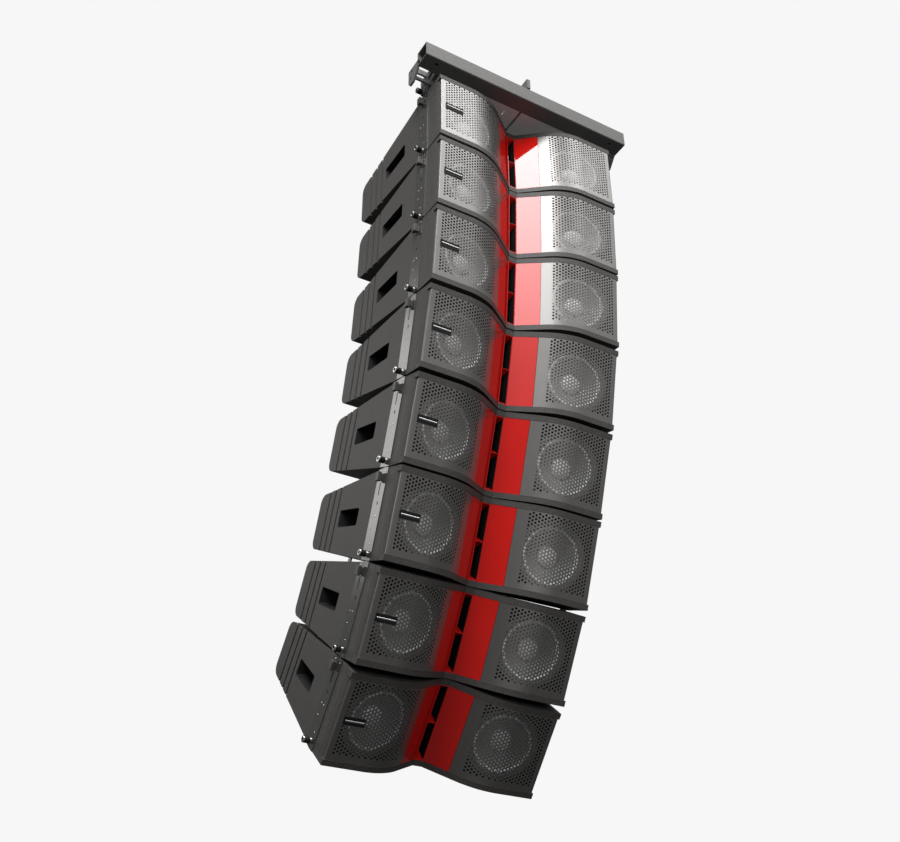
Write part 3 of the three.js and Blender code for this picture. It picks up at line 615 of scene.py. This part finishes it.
def grille_sheet():
    """Cells of the grid that no hole's block covers, and a ring of twelve faces in each block."""
    length, line = grille_path()
    s, z, first = grid_lines(length, line)
    low = int(np.argmin(abs(z - FIELD_BOTTOM)))
    rows, columns = len(s), len(z)
    grid_s, grid_z = np.meshgrid(s, z, indexing="ij")
    column, row = np.meshgrid(np.arange(COLUMNS), np.arange(ROWS), indexing="ij")
    corner_s = (first + 2 * column).ravel()
    corner_z = (low + 4 * row + 2 * (column % 2)).ravel()
    free = np.ones((rows - 1, columns - 1), bool)
    for i in range(2):
        for j in range(4):
            free[corner_s + i, corner_z + j] = False
    a, b = np.nonzero(free)
    plain_faces = np.stack([a * columns + b, (a + 1) * columns + b, (a + 1) * columns + b + 1,
                            a * columns + b + 1], -1)
    around_s = np.array([0, 1, 2, 2, 2, 2, 2, 1, 0, 0, 0, 0])
    around_z = np.array([0, 0, 0, 1, 2, 3, 4, 4, 4, 3, 2, 1])
    angle = np.radians([-120, -90, -60, -30, 0, 30, 60, 90, 120, 150, 180, 210])
    rim = (corner_s[:, None] + around_s) * columns + corner_z[:, None] + around_z
    hole_s = s[corner_s + 1][:, None] + HOLE_RADIUS * np.cos(angle)
    hole_z = z[corner_z + 2][:, None] + HOLE_RADIUS * np.sin(angle)
    hole = rows * columns + np.arange(hole_s.size).reshape(hole_s.shape)
    ring = np.stack([rim, np.roll(rim, -1, 1), np.roll(hole, -1, 1), hole], -1).reshape(-1, 4)
    all_s = np.concatenate([grid_s.ravel(), hole_s.ravel()])
    all_z = np.concatenate([grid_z.ravel(), hole_z.ravel()])
    x, y = np.interp(all_s, length, line[:, 0]), np.interp(all_s, length, line[:, 1])
    return np.column_stack([x, y, all_z]), np.vstack([plain_faces, ring]).tolist()


def on_side(part, side):
    """The part itself, or for the left its mirror image with faces turned back to point outwards."""
    return part if side > 0 else flipped((np.asarray(part[0], float) * [-1, 1, 1], part[1]))


sheet = grille_sheet()
SHAPES["grille_right"] = template(sheet, solidify=1.5 * MM, smooth=30)
SHAPES["grille_left"] = template(on_side(sheet, -1), solidify=1.5 * MM, smooth=30)
print("holes a grille", COLUMNS * ROWS, "faces", len(SHAPES["grille_left"].polygons))

# %% [markdown]
# The horn is the valley of the front line in solid red. Two apertures, one above the other, narrow
# to slots behind it, and their ramped floors and ceilings meet in ridges. Black sheets line the side
# walls as painted shade, so the slots look deep and the ramps stay red.

# %% The horn
MOUTH_Y = float(front_y(0, 1 * MM))
HORN_REAR = MOUTH_Y + 62 * MM
APERTURE = ((0, 14.5, 0), (30, 6, 17))
APERTURE_LIP = CAVITY_HEIGHT - 4 * MM
APERTURE_SPANS = ((-APERTURE_LIP, -0.5 * MM), (0.5 * MM, APERTURE_LIP))


def aperture(z0, z1, start, end, shrink=0.0, taller=0.0):
    """A loft from the mouth to the throat between two stations of depth, half width and inset, in mm.

    Half width and inset change in a straight line, and stay as they are past the last station.
    """
    (y0, wide, top), (y1, narrow, ramp) = APERTURE
    rings = []
    for y in (start, y1, end):
        share = min((y - y0) / (y1 - y0), 1)
        half = (wide + (narrow - wide) * share - shrink) * MM
        inset = (top + (ramp - top) * share + shrink - taller) * MM
        low, high, depth = z0 + inset, z1 - inset, MOUTH_Y + y * MM
        rings.append([[-half, depth, low], [half, depth, low], [half, depth, high], [-half, depth, high]])
    return flipped(loft(rings))


def horn():
    """Front line, then the same line set back by the wall, round a core behind the slot."""
    outer, core = HORN_HALF - GAP, 44 * MM
    front = front_line(0.0, outer, 1 * MM)
    back = front_line(core, outer, 9 * MM)[::-1]
    right = np.vstack([front, back, [[core, HORN_REAR]]])
    block = prism(np.vstack([mirrored(right), right[1:]]), -CAVITY_HEIGHT + GAP, CAVITY_HEIGHT - GAP)
    cuts = [aperture(*span, -20, 80) for span in APERTURE_SPANS]
    return template(block, bevel=0.4 * MM, cutters=cuts, smooth=30)


def throats():
    """Black sheets of painted shade on the side walls of the slots. The taller cutter leaves floors and
    ceilings red.
    """
    sleeves = [aperture(*span, 1.5, 61, 0.2) for span in APERTURE_SPANS]
    cuts = [aperture(*span, 0.5, 70, 0.9, 3) for span in APERTURE_SPANS]
    return template(*sleeves, cutters=cuts, smooth=30)


SHAPES["horn"] = horn()
SHAPES["throats"] = throats()
print("horn faces", len(SHAPES["horn"].polygons), "mouth at", round(MOUTH_Y, 3))

# %% [markdown]
# Behind each grille a woofer sits on an angled baffle. Cone, dust cap, surround and frame are
# turned profiles, each a list of radius and depth. The same profiles are carried to both sides.

# %% The drivers
CHAMBER, BAFFLE_OUTER = HORN_HALF + 3 * MM, CAVITY_HALF - GAP
TOE_IN = math.atan((float(front_y(CHAMBER, 1 * MM)) - 8.7 * MM) / (BAFFLE_OUTER - CHAMBER))
WOOFER_X = HORN_HALF + BAFFLE_MARGIN + WOOFER_FRAME / 2


def baffle_front(x):
    return 18 * MM + (BAFFLE_OUTER - x) * math.tan(TOE_IN)


def woofer_matrix(side):
    """Turned to face the grille's mean line, then moved to the baffle."""
    turn = Matrix.Rotation(-side * TOE_IN, 4, "Z")
    return shift(side * WOOFER_X, baffle_front(WOOFER_X)) @ np.array(turn)


def both_woofers(part):
    return sided(lambda side: moved(part, woofer_matrix(side)))


def dome(radius, y_edge, y_top, steps):
    """Points of a shallow cap from the axis to its edge."""
    angle = np.linspace(0, 1, steps) * np.pi / 2
    return np.column_stack([radius * np.sin(angle), y_edge + (y_top - y_edge) * np.cos(angle)])


def cone_part():
    """A flaring cone: its depth falls with the distance out, to the power 0.8."""
    flare = np.linspace(0, 1, 10)
    flank = np.column_stack([34 + 56 * flare, 36 - 34 * flare**0.8])
    return turned([*flank, [90, 5], [34, 39]], 56, loop=True)


def cap_part():
    cap = dome(38, 31, 14, 10)
    cap[0, 0] = 0.3
    return turned([*cap, [38, 34], [0.3, 34]], 48)


def surround_part():
    """A half roll between the cone and the frame."""
    roll = arc((96, 0.5), 6.5, 180, 360, 10)
    return turned([*roll, [102, 4], [90, 4]], 56, loop=True)


def frame_part():
    ring = [[102, -1], [103, -6], [106, -7.5], [118, -7.5], [122, -5], [122, 0], [102, 0]]
    return turned(ring, 56, loop=True)


def magnet_part():
    profile = [[0.3, 39], [38, 39], [92, 6], [104, 0.5], [119, 0.5], [119, 4], [80, 44], [65, 66], [65, 113],
               [60, 118], [0.3, 118]]
    return turned(profile, 40)


def baffle_part():
    right = np.array([[0, HORN_REAR + GAP], [CHAMBER, HORN_REAR + GAP], [CHAMBER, baffle_front(CHAMBER)],
                      [BAFFLE_OUTER, 18 * MM], [BAFFLE_OUTER, 33 * MM],
                      [CHAMBER + 15 * MM, baffle_front(CHAMBER + 15 * MM) + 15 * MM],
                      [CHAMBER + 15 * MM, HORN_REAR + 12 * MM], [0, HORN_REAR + 12 * MM]])
    block = prism(np.vstack([right, mirrored(right)[1:-1]]), -CAVITY_HEIGHT + GAP, CAVITY_HEIGHT - GAP)
    hole = turned([[105, -30], [105, 30]], 48)
    return template(block, cutters=both_woofers(hole))


def compression_parts():
    profile = [[0.3, 0], [50, 0], [52, 3], [52, 40], [46, 46], [44, 60], [40, 62], [0.3, 62]]
    one = turned(profile, 40)
    seat = HORN_REAR + 12 * MM
    return [moved(one, shift(0, seat, z)) for z in (-60 * MM, 60 * MM)]


SHAPES["baffle"] = baffle_part()
for name, part, smooth in (("cones", cone_part(), 50), ("caps", cap_part(), 50),
                           ("surrounds", surround_part(), 70), ("frames", frame_part(), 40)):
    SHAPES[name] = template(*both_woofers(part), smooth=smooth)
SHAPES["motors"] = template(*both_woofers(magnet_part()), *compression_parts(), smooth=40)
print("woofer toe-in", round(math.degrees(TOE_IN), 2), "degrees")

# %% [markdown]
# The rigging is steel: a plate down each side with a track for the link's knob, the link that
# reaches up into the cabinet above, and at the rear a splay arc centred on the hinge, so that it
# slides along itself as the cabinet tips.

# %% The rigging
STRIP_FACE = HALF_WIDTH + 3 * MM
SHEET = 1.5 * MM
ARC_INNER, ARC_OUTER, ARC_LOW, ARC_HIGH = 488 * MM, 512 * MM, -13, 8


def slot_outline(y, z0, z1, half):
    """A slot with round ends, along z."""
    return np.vstack([arc((y, z1), half, 0, 180, 8), arc((y, z0), half, 180, 360, 8)])


def strips():
    """A plate down each side with the knob's track, a short slot and the pin's hole."""
    line = rounded(94 * MM, 162 * MM, -HALF_HEIGHT, HALF_HEIGHT, 1.5 * MM)
    track = slot_outline(PIN_Y, 64 * MM, 102 * MM, 3 * MM)
    slot = slot_outline(126 * MM, 32 * MM, 38 * MM, 3.5 * MM)
    plates, cuts = [], [("INTERSECT", outer_side())]
    for _, side in SIDES:
        plates.append(x_plate(line, side, HALF_WIDTH - 1 * MM, STRIP_FACE))
        cuts += [x_plate(track, side, HALF_WIDTH + 0.5 * MM, CLEAR_X),
                 x_plate(slot, side, HALF_WIDTH - 0.5 * MM, CLEAR_X), pin_hole(side)]
    return template(*plates, bevel=0.6 * MM, cutters=cuts)


def rivets():
    """Flat heads proud of each strip."""
    head = turned([[0.2, 0], [2.6, 0], [2.2, 1.1], [0.2, 1.4]], 14, axis="x")
    places = ((140, -8), (120, -8), (140, -48), (120, -100), (148, 140), (106, 140))
    heads = [moved(on_side(head, side), shift(side * STRIP_FACE, y * MM, z * MM))
             for _, side in SIDES for y, z in places]
    return template(*heads, smooth=50)


def links():
    """A flat bar with a round end and the pin's hole, up into the cabinet above."""
    foot = [[PIN_Y - LINK_HALF, LINK_FOOT], [PIN_Y + LINK_HALF, LINK_FOOT]]
    line = np.vstack([arc((PIN_Y, UPPER_Z), LINK_HALF, 0, 180, 16), foot])
    bars = [x_plate(line, side, LINK_IN, LINK_OUT) for _, side in SIDES]
    return template(*bars, bevel=0.7 * MM, cutters=[pin_hole(side, UPPER_Z) for _, side in SIDES])


def knobs():
    """A block with a waist that the fingers lift the link by."""
    blocks = []
    for _, side in SIDES:
        for x0, x1, half_y, half_z in ((-2, 8, 7, 12), (6, 18, 10, 16)):
            blocks.append(box(side * (STRIP_FACE + x0 * MM), side * (STRIP_FACE + x1 * MM),
                              PIN_Y - half_y * MM, PIN_Y + half_y * MM,
                              HALF_HEIGHT - (32 + half_z) * MM, HALF_HEIGHT - (32 - half_z) * MM))
    return template(*blocks, bevel=2 * MM, segments=3)


def splay_arcs():
    """Flat arcs about the hinge, each from a foot in its own channel up into the channel above."""
    hinge, bars, wide = (PIN_Y, UPPER_Z), [], CHANNEL_HALF - 2 * MM
    outer = arc(hinge, ARC_OUTER, ARC_LOW, ARC_HIGH, 21)
    outline = np.vstack([outer, arc(hinge, ARC_INNER, ARC_HIGH, ARC_LOW, 21)])
    for _, side in SIDES:
        x = side * CHANNEL_X
        bars.append(prism(outline, x - 3 * MM, x + 3 * MM, axis="x"))
        bars.append(box(x - wide, x + wide, CHANNEL_FLOOR + SHEET, DEPTH - 20 * MM, 68 * MM, 90 * MM))
    return template(*bars, bevel=0.8 * MM)


def channels():
    """A folded steel channel lining each rear slot."""
    parts = []
    rear_half = HALF_HEIGHT - (DEPTH - TAPER_START) * math.tan(TAPER) - 12 * MM
    for _, side in SIDES:
        x, wall = side * CHANNEL_X, CHANNEL_HALF - 0.5 * MM
        inner, mouth, floor = wall - SHEET, DEPTH + 1 * MM, CHANNEL_FLOOR + SHEET
        line = [[x - wall, CHANNEL_FLOOR], [x + wall, CHANNEL_FLOOR], [x + wall, mouth], [x + inner, mouth],
                [x + inner, floor], [x - inner, floor], [x - inner, mouth], [x - wall, mouth]]
        parts.append(prism(line, -rear_half, rear_half))
    return template(*parts)


SHAPES.update(strips=strips(), rivets=rivets(), links=links(), knobs=knobs(), arcs=splay_arcs(),
              channels=channels())
print("rivets", len(SHAPES["rivets"].polygons), "faces, arcs", len(SHAPES["arcs"].polygons), "faces")

# %% [markdown]
# Smaller pieces finish a cabinet: the cups of the handles, the amplifier plate with its cooling
# fins and sockets, a plain badge, and the quick-release pins.

# %% Handles, amplifier plate, badge and pins
def handle_cups():
    """A loft from the rounded mouth to a smaller floor, its lower and rear walls sloping in."""
    cups = []
    for _, side in SIDES:
        rings = []
        for depth, front, rear, low, high, radius in ((1, 0, 0, 0, 0, 7), (3, 1.5, 1.5, 1.5, 1.5, 6),
                                                      (40, 3, 12, 9, 2, 6), (52, 5, 20, 15, 4, 6),
                                                      (55, 9, 26, 20, 8, 5)):
            outline = rounded(HANDLE_Y - HANDLE_HALF + front * MM, HANDLE_Y + HANDLE_HALF - rear * MM,
                              -HANDLE_RISE + low * MM, HANDLE_RISE - high * MM, radius * MM)
            rings.append(np.column_stack([np.full(len(outline), side * (HALF_WIDTH - depth * MM)), outline]))
        cup = loft(rings, cap_first=False)
        cups.append(flipped(cup) if side < 0 else cup)
    return template(*cups, solidify=-1.2 * MM, smooth=40)


def amplifier_plate():
    """A plate with upright fins to one side and round sockets to the other."""
    half_x, half_z = AMP_HALF_X - 4 * MM, AMP_HALF_Z - 4 * MM
    plate = box(-half_x, half_x, AMP_FLOOR - 1 * MM, AMP_FLOOR + 2.5 * MM, -half_z, half_z)
    fins = [box(x - 1.6 * MM, x + 1.6 * MM, AMP_FLOOR + 1 * MM, AMP_FLOOR + 7.5 * MM, -0.055, 0.055)
            for x in np.linspace(-0.18, 0.02, 21)]
    return template(plate, *fins, bevel=0.6 * MM, segments=1)


def sockets():
    """Four locking sockets and a power inlet, each a collar round a dished face, and corner screws."""
    ring = turned([[0.3, 3.4], [9, 3.4], [11, 6.5], [13, 6.5], [14, 5], [14, 1], [0.3, 1]], 28)
    head = turned([[0.2, 2], [3.2, 2], [3, 4], [0.2, 4.4]], 12)
    parts = [moved(ring, shift(x, AMP_FLOOR, z)) for x in (0.075, 0.125) for z in (-0.03, 0.03)]
    parts.append(moved(ring, shift(0.168, AMP_FLOOR, 0)))
    parts += [moved(head, shift(x, AMP_FLOOR, z)) for x in (-0.189, 0.189) for z in (-0.064, 0.064)]
    return template(*parts, smooth=35)


BADGE_X, BADGE_HALF_X, BADGE_HALF_Z = -329 * MM, 37 * MM, 13.5 * MM


def badge_plate():
    outline = rounded(-BADGE_HALF_Z, BADGE_HALF_Z, BADGE_X - BADGE_HALF_X, BADGE_X + BADGE_HALF_X, 1.5 * MM)
    return template(prism(outline, -2.2 * MM, 1.2 * MM, axis="y"), bevel=0.6 * MM)


def badge_bar():
    """A half-round bar along the plate, with square ends."""
    outline = arc((0, -2 * MM), 3.6 * MM, 180, 360, 10)
    ends = [np.column_stack([np.full(len(outline), x), outline[:, 1] * 0.9, outline[:, 0]])
            for x in (BADGE_X - 33 * MM, BADGE_X + 33 * MM)]
    return template(loft(ends), bevel=0.3 * MM, segments=1, smooth=50)


def pin_parts(side, z):
    """Collar and shaft, then the black barrel, then the bright ring with its dark button."""
    def turn(profile, loop=False):
        part = turned(profile, 28, axis="x", loop=loop)
        return moved(on_side(part, side), shift(side * STRIP_FACE, PIN_Y, z))

    shaft = turn([[0.2, -26], [5, -26], [6, -24.5], [6, 0.6], [9.2, 0.6], [9.2, 3.6], [0.2, 3.6]])
    ring = turn([[6, 22.5], [10.4, 22.5], [10.8, 25], [10, 26.6], [7, 26.6], [6, 25.5]], loop=True)
    barrel = turn([[0.2, 3.4], [10, 3.4], [11, 4.4], [11, 21.5], [10, 22.8], [6.4, 22.8], [6.4, 24.4],
                   [0.2, 24.4]])
    return template(shaft, ring, smooth=40), template(barrel, smooth=40)


SHAPES.update(cups=handle_cups(), amplifier=amplifier_plate(), sockets=sockets(), badge=badge_plate(),
              badge_bar=badge_bar())
print("small shapes made:", len(SHAPES), "in all")

# %% [markdown]
# Now the eight cabinets are set out. Every piece is a copy of a finished shape, carried by the
# cabinet's matrix, and it rides on that cabinet's CAD body. Pins ride on bodies of their own. The
# topmost cabinet has no arcs, since nothing above takes them. The grilles and the badges on them
# cast no shadow, so that light reaches the woofers and they can be seen through the holes.

# %% Eight cabinets
# slot, CAD node, and the shapes in it with their finishes
CABINET_PIECES = (
    ("textured_black", "cabinet", {"enclosure": PAINT, "cups": BLACK}),
    ("fly_steel", "cabinet", {"strips": STRIP, "rivets": CHROME, "links": STRIP, "knobs": KNOB,
                              "arcs": STRIP, "channels": STRIP}),
    ("textured_black", "cabinet", {"amplifier": ALUMINIUM, "sockets": BLACK}),
    ("driver", "driver_baffle", {"baffle": BAFFLE_AND_SHADE_BLACK, "cones": CONE, "caps": CAP, "surrounds": PAINTED_HIGHLIGHT_RUBBER,
                                 "frames": BASKET, "motors": BASKET}),
    ("red_horn", "waveguide", {"horn": RED}),
    # black sheets in the horn's slots: painted shade
    ("driver", "waveguide", {"throats": BAFFLE_AND_SHADE_BLACK}),
    ("grille", "grille_left", {"grille_left": GRILLE}),
    ("grille", "grille_right", {"grille_right": GRILLE}),
    ("grille", "grille_left", {"badge": BLACK, "badge_bar": CHROME}),
)
PIECE_ROWS = [(shape, finish, slot, node) for slot, node, shapes in CABINET_PIECES
              for shape, finish in shapes.items()]


def add_pins(prefix, body, number, matrix, z):
    """A pair of pins, left and right, each of a bright and a black piece."""
    for name, side in SIDES:
        bright, dark = pin_parts(side, z)
        rides = body.format(side=name, number=number)
        place(f"{prefix}_steel_{name}_{number}", bright, rides, CHROME, matrix, [rides])
        place(f"{prefix}_barrel_{name}_{number}", dark, rides, BLACK, matrix, [rides])


for number, matrix in CABINET_FRAME.items():
    for shape, finish, slot, node in PIECE_ROWS:
        if shape == "arcs" and number == 1:
            continue
        piece = place(f"{shape}_{number}", SHAPES[shape], f"cab_{number}", finish, matrix,
                      [f"{node}_{number}"])
        piece.visible_shadow = slot != "grille"
    add_pins("pin", "pin_{side}_{number}", number, matrix, LOWER_Z)
pieces = [piece for piece in bpy.data.objects if piece.type == "MESH"]
print("objects", len(pieces), "faces", sum(len(piece.data.polygons) for piece in pieces))

# %% [markdown]
# The fly bar hangs the array: a square tube with open ends, end plates that pin the first
# cabinet's links, a flat gusset behind the tube, and an upright spine bar with a row of holes. The
# pick-up plate straddles the spine, and slides along it to set the tilt of the array.

# %% The fly bar
BEAM_Y0, BEAM_Y1, BEAM_Z0, BEAM_Z1, BEAM_X = -21 * MM, 49 * MM, 48 * MM, 118 * MM, HALF_WIDTH + 71 * MM
FLY_PIN_Z, WELD_Y = PIN_RISE + SEAM / 2, 44 * MM
FLY = shift(*(np.array(joints["splay_1"]["pos_m"]) - [0, PIN_Y, FLY_PIN_Z]))


def ring_tube(outer, inner, x0, x1):
    """An outer and an inner outline of (y, z), equal in points, carried along x with open ends."""
    n, order = len(outer), ((x0, outer), (x1, outer), (x1, inner), (x0, inner))
    rings = [np.column_stack([np.full(n, x), ring]) for x, ring in order]
    return np.vstack(rings), grid_faces(4, n, close_rows=True, close_columns=True)


def beam():
    outer = rounded(BEAM_Y0, BEAM_Y1, BEAM_Z0, BEAM_Z1, 5 * MM)
    inner = rounded(BEAM_Y0 + 5 * MM, BEAM_Y1 - 5 * MM, BEAM_Z0 + 5 * MM, BEAM_Z1 - 5 * MM, 2 * MM)
    hole = turned([[7, 20], [7, 60]], 20, axis="z")
    cuts = [moved(hole, shift(side * 402 * MM, 6 * MM)) for _, side in SIDES]
    return template(ring_tube(outer, inner, -BEAM_X, BEAM_X), bevel=0.8 * MM, cutters=cuts)


def end_plate(side):
    top, rear, foot = BEAM_Z0 + 35 * MM, BEAM_Y1 + 70 * MM, BEAM_Z0 - 48 * MM
    outline = [[WELD_Y, BEAM_Z0], [BEAM_Y1, BEAM_Z0 - 4 * MM], [rear - 37 * MM, foot],
               [rear - 10 * MM, foot], [rear, foot + 14 * MM], [rear, top], [WELD_Y, top]]
    holes = [x_plate(arc((rear - y * MM, top - z * MM), 6 * MM, 0, 340, 17), side, 0.44, 0.47)
             for y, z in ((24, 16), (17, 51))]
    return template(x_plate(outline, side, BEAM_X - 8 * MM, BEAM_X), bevel=0.8 * MM, cutters=holes)


def end_bracket(side):
    """The plate across the end, notched over the link, and the two cheeks that hold the link."""
    y0, y1, top = BEAM_Y1 + 44 * MM, BEAM_Y1 + 52 * MM, BEAM_Z0 + 51 * MM
    plate = box(side * 355 * MM, side * (BEAM_X - 7 * MM), y0, y1, BEAM_Z0 - 10 * MM, top)
    notch = box(side * 395 * MM, side * (BEAM_X - 8 * MM), y0 - 0.01, y1 + 0.01, BEAM_Z0 + 5 * MM,
                BEAM_Z0 + 24 * MM)
    half, waist = 15 * MM, BEAM_Z0 + 18 * MM
    cheek = np.vstack([arc((PIN_Y, FLY_PIN_Z), half, 180, 360, 14),
                       [[PIN_Y + half, top], [WELD_Y, top], [WELD_Y, waist], [PIN_Y - half, waist]]])
    cheeks = [template(x_plate(cheek, side, x0, x1), bevel=0.8 * MM, cutters=[pin_hole(side, FLY_PIN_Z)])
              for x0, x1 in ((LINK_IN - 19 * MM, LINK_IN - 1 * MM), (LINK_OUT + 1 * MM, STRIP_FACE))]
    return [template(plate, bevel=0.8 * MM, cutters=[notch]), *cheeks]


def gusset(side):
    """Wide at the tube and narrow at the tail, with a slit between the two halves."""
    line = np.array([[4.5, 44], [212, 44], [212, 61], [60, 259], [60, 605], [4.5, 605]]) * MM
    cuts = [box(-62 * MM, -55 * MM, 64 * MM, 90 * MM, 0, 0.1)] if side < 0 else []
    return template(prism(line * [side, 1], BEAM_Z0, BEAM_Z0 + 10 * MM), bevel=0.8 * MM, cutters=cuts)


def spine():
    line = np.array([[44, 57], [605, 57], [605, 173], [-20, 173], [-20, 125], [44, 125]]) * MM
    holes = [x_plate(arc(((79 + 60 * step) * MM, 149 * MM), 10 * MM, 0, 345, 23), 1, -0.02, 0.02)
             for step in range(9)]
    return template(prism(line, -7.5 * MM, 7.5 * MM, axis="x"), bevel=0.8 * MM, cutters=holes)


def bolt_heads():
    """Hexagon heads on the gusset and on top of the tube's ends."""
    head = turned([[0.2, 0], [8, 0], [8, 5], [7, 6], [0.2, 6]], 6, axis="z")
    places = [(x, 62, 58) for x in (-170, -110, 110, 170)] + [(x, 6, 118) for x in (-402, 402)]
    parts = [moved(head, shift(x * MM, y * MM, z * MM)) for x, y, z in places]
    return template(*parts, bevel=0.4 * MM, segments=1)


def pickup():
    """Two cheeks over the spine joined by a head, with the shackle's hole."""
    head = arc((470, 217), 24, 0, 180, 18)
    line = np.vstack([[[425, 133], [515, 133], [515, 185]], head, [[425, 185]]]) * MM
    gap = box(-8.5 * MM, 8.5 * MM, 400 * MM, 550 * MM, 120 * MM, 174 * MM)
    hole = x_plate(arc((470 * MM, 217 * MM), 15 * MM, 0, 350, 35), 1, -0.03, 0.03)
    return template(prism(line, -20.5 * MM, 20.5 * MM, axis="x"), bevel=1.2 * MM, cutters=[gap, hole])


FLY_SHAPES = {"beam": beam(), "spine": spine()}
for name, side in SIDES:
    FLY_SHAPES[f"end_plate_{name}"] = end_plate(side)
    FLY_SHAPES[f"gusset_{name}"] = gusset(side)
    for number, shape in enumerate(end_bracket(side)):
        FLY_SHAPES[f"bracket_{name}_{number}"] = shape
for name, shape in FLY_SHAPES.items():
    # the gussets take the lighter copy of the steel, which is painted light
    finish = PAINTED_LIGHT_GUSSET if name.startswith("gusset") else STEEL
    place(f"fly_{name}", shape, "fly_bar", finish, FLY, ["fly_bar"])
place("fly_bolts", bolt_heads(), "fly_bar", CHROME, FLY, ["fly_bar"])
place("pickup_head", pickup(), "pickup", STEEL, FLY, ["pickup_plate"])
add_pins("fly", "fly_pin_{side}", 0, FLY, FLY_PIN_Z)
print("fly bar pieces", len(FLY_SHAPES) + 2)

# %% [markdown]
# Gloss shows what surrounds it, so the lighting is mostly a sky drawn for the reflections: a tall
# panel high to the left for the horn, a glow high to the right for the grilles, a dim glow in front
# and one below it, and a narrow band behind to the left for the rigging. Upper grilles gleam in it,
# and lower ones, which face down, stay dark. Two dark patches keep the lower horns and grilles
# deep. Matt paint shows no reflections, so three lamps that leave none shade it, and one of them
# stands behind. The camera sees a pale backdrop.

# %% World
def direction(azimuth, elevation):
    """A unit vector from degrees to the right of straight in front (-Y), and degrees up."""
    a, e = math.radians(azimuth), math.radians(elevation)
    return (math.sin(a) * math.cos(e), -math.cos(a) * math.cos(e), math.sin(e))


def sky():
    """A sum of glows, each e to the power of minus half the squared distance from its middle."""
    world = bpy.data.worlds.new("studio")
    world.use_nodes = True
    scene.world = world
    world.node_tree.nodes.clear()
    graph = Graph(world.node_tree)
    ray = graph.node("ShaderNodeTexCoord")
    height = graph.node("ShaderNodeSeparateXYZ", {}, {0: ray}, output=2)

    def along(vector):
        return graph.node("ShaderNodeVectorMath", {"operation": "DOT_PRODUCT"}, {0: ray, 1: vector}, output=1)

    def glow(azimuth, elevation, width):
        """Round: one minus the cosine to its middle stands for half the squared angle."""
        return ((along(direction(azimuth, elevation)) - 1) * (1 / math.radians(width) ** 2)).exp()

    def upright(azimuth, elevation, width, tall):
        """A tall panel: its own width across, and a height measured on the ray's rise."""
        across = along(direction(azimuth + 90, 0)) * (1 / math.radians(width))
        rise = (height - math.sin(math.radians(elevation))) * (1 / math.radians(tall))
        ahead = graph.clamp(along(direction(azimuth, 0)) * 4)
        return ((across * across + rise * rise) * -0.5).exp() * ahead

    band = (height - 0.533) * (1 / 0.097)
    for _ in range(3):
        band = band * band
    rear_band = (band * -1).exp() * glow(-154, 32, 22)
    above = graph.node("ShaderNodeMapRange", {"interpolation_type": "SMOOTHSTEP"},
                       {"Value": height, "From Min": -0.5, "From Max": 0.5, "To Min": 0.03, "To Max": 0.12})
    keys = upright(-40, 58, 7, 14) * 14 + glow(27, 54, 9) * 6.5
    light = keys + glow(-5, 35, 36) * 0.35 + rear_band * 1.3 + above + glow(-6, -10, 22) * 0.38
    light = light * (1 - glow(-50, -8, 20) * 0.7) * (1 - glow(40, -18, 20) * 0.7)
    shine = graph.node("ShaderNodeBackground", {}, {"Strength": light})
    backdrop = graph.node("ShaderNodeBackground", {}, {"Color": grey(0.93)})
    seen = graph.node("ShaderNodeLightPath")
    mix = graph.node("ShaderNodeMixShader", {}, {0: seen, 1: shine, 2: backdrop})
    output = world.node_tree.nodes.new("ShaderNodeOutputWorld")
    world.node_tree.links.new(mix.socket, output.inputs["Surface"])


def aimed(place_at, target):
    """A matrix whose -Z axis points from a place to a target, as lamps and cameras look along -Z."""
    away = (Vector(place_at) - Vector(target)).normalized()
    return Matrix.Translation(place_at) @ away.to_track_quat("Z", "Y").to_matrix().to_4x4()


def fill_light(name, azimuth, elevation, power, distance=7.0, size=3.0):
    """A round lamp that shades the matt surfaces and leaves no reflection of its own."""
    data = bpy.data.lights.new(name, "AREA")
    data.shape, data.size, data.energy = "DISK", size, power
    lamp = added(name, data)
    middle = Vector((0.0, 0.0, -1.5))
    lamp.matrix_world = aimed(middle + Vector(direction(azimuth, elevation)) * distance, middle)
    lamp.visible_glossy = lamp.visible_camera = False
    return lamp


sky()
FILLS = {"front fill": (-45, 36, 430), "low fill": (-14, -12, 110), "rear fill": (150, 30, 620)}
for name, lamp in FILLS.items():
    fill_light(name, *lamp)
print("world", scene.world.name, "lamps", len(bpy.data.lights))

# %% [markdown]
# The camera stands below and to the left of the array and looks up at it. The floor lies well
# below, out of the picture, and shows only when the part is seen from the side.

# %% Camera and floor
def add_floor(level, reach=30):
    """A wide pale floor that lights and reflections don't see."""
    corners = [(-reach, -reach, level), (reach, -reach, level), (reach, reach, level), (-reach, reach, level)]
    floor = mesh_object("floor", corners, [(0, 1, 2, 3)])
    look = Look("floor", Roughness=0.9)
    soft = look.noise(0.5)
    look.feed("Base Color", look.ramp(soft, grey(0.80), grey(0.84)))
    floor.data.materials.append(look.material)
    floor.visible_glossy = floor.visible_diffuse = False


FLOOR_LEVEL = -3.95
add_floor(FLOOR_LEVEL)
camera_data = bpy.data.cameras.new("camera")
camera_data.lens, camera_data.sensor_width = 47.316, 36.0
camera = added("camera", camera_data)
RIGHT, UP = Vector((0.86270, -0.50569, -0.00538)), Vector((-0.27117, -0.47154, 0.83912))
basis = Matrix((RIGHT, UP, RIGHT.cross(UP))).transposed().to_4x4()
camera.matrix_world = Matrix.Translation((-1.89171, -3.06668, -3.70655)) @ basis
scene.camera = camera
scene.view_settings.view_transform = "Standard"
print("camera looks along", [round(c, 3) for c in -basis.col[2].to_3d()])
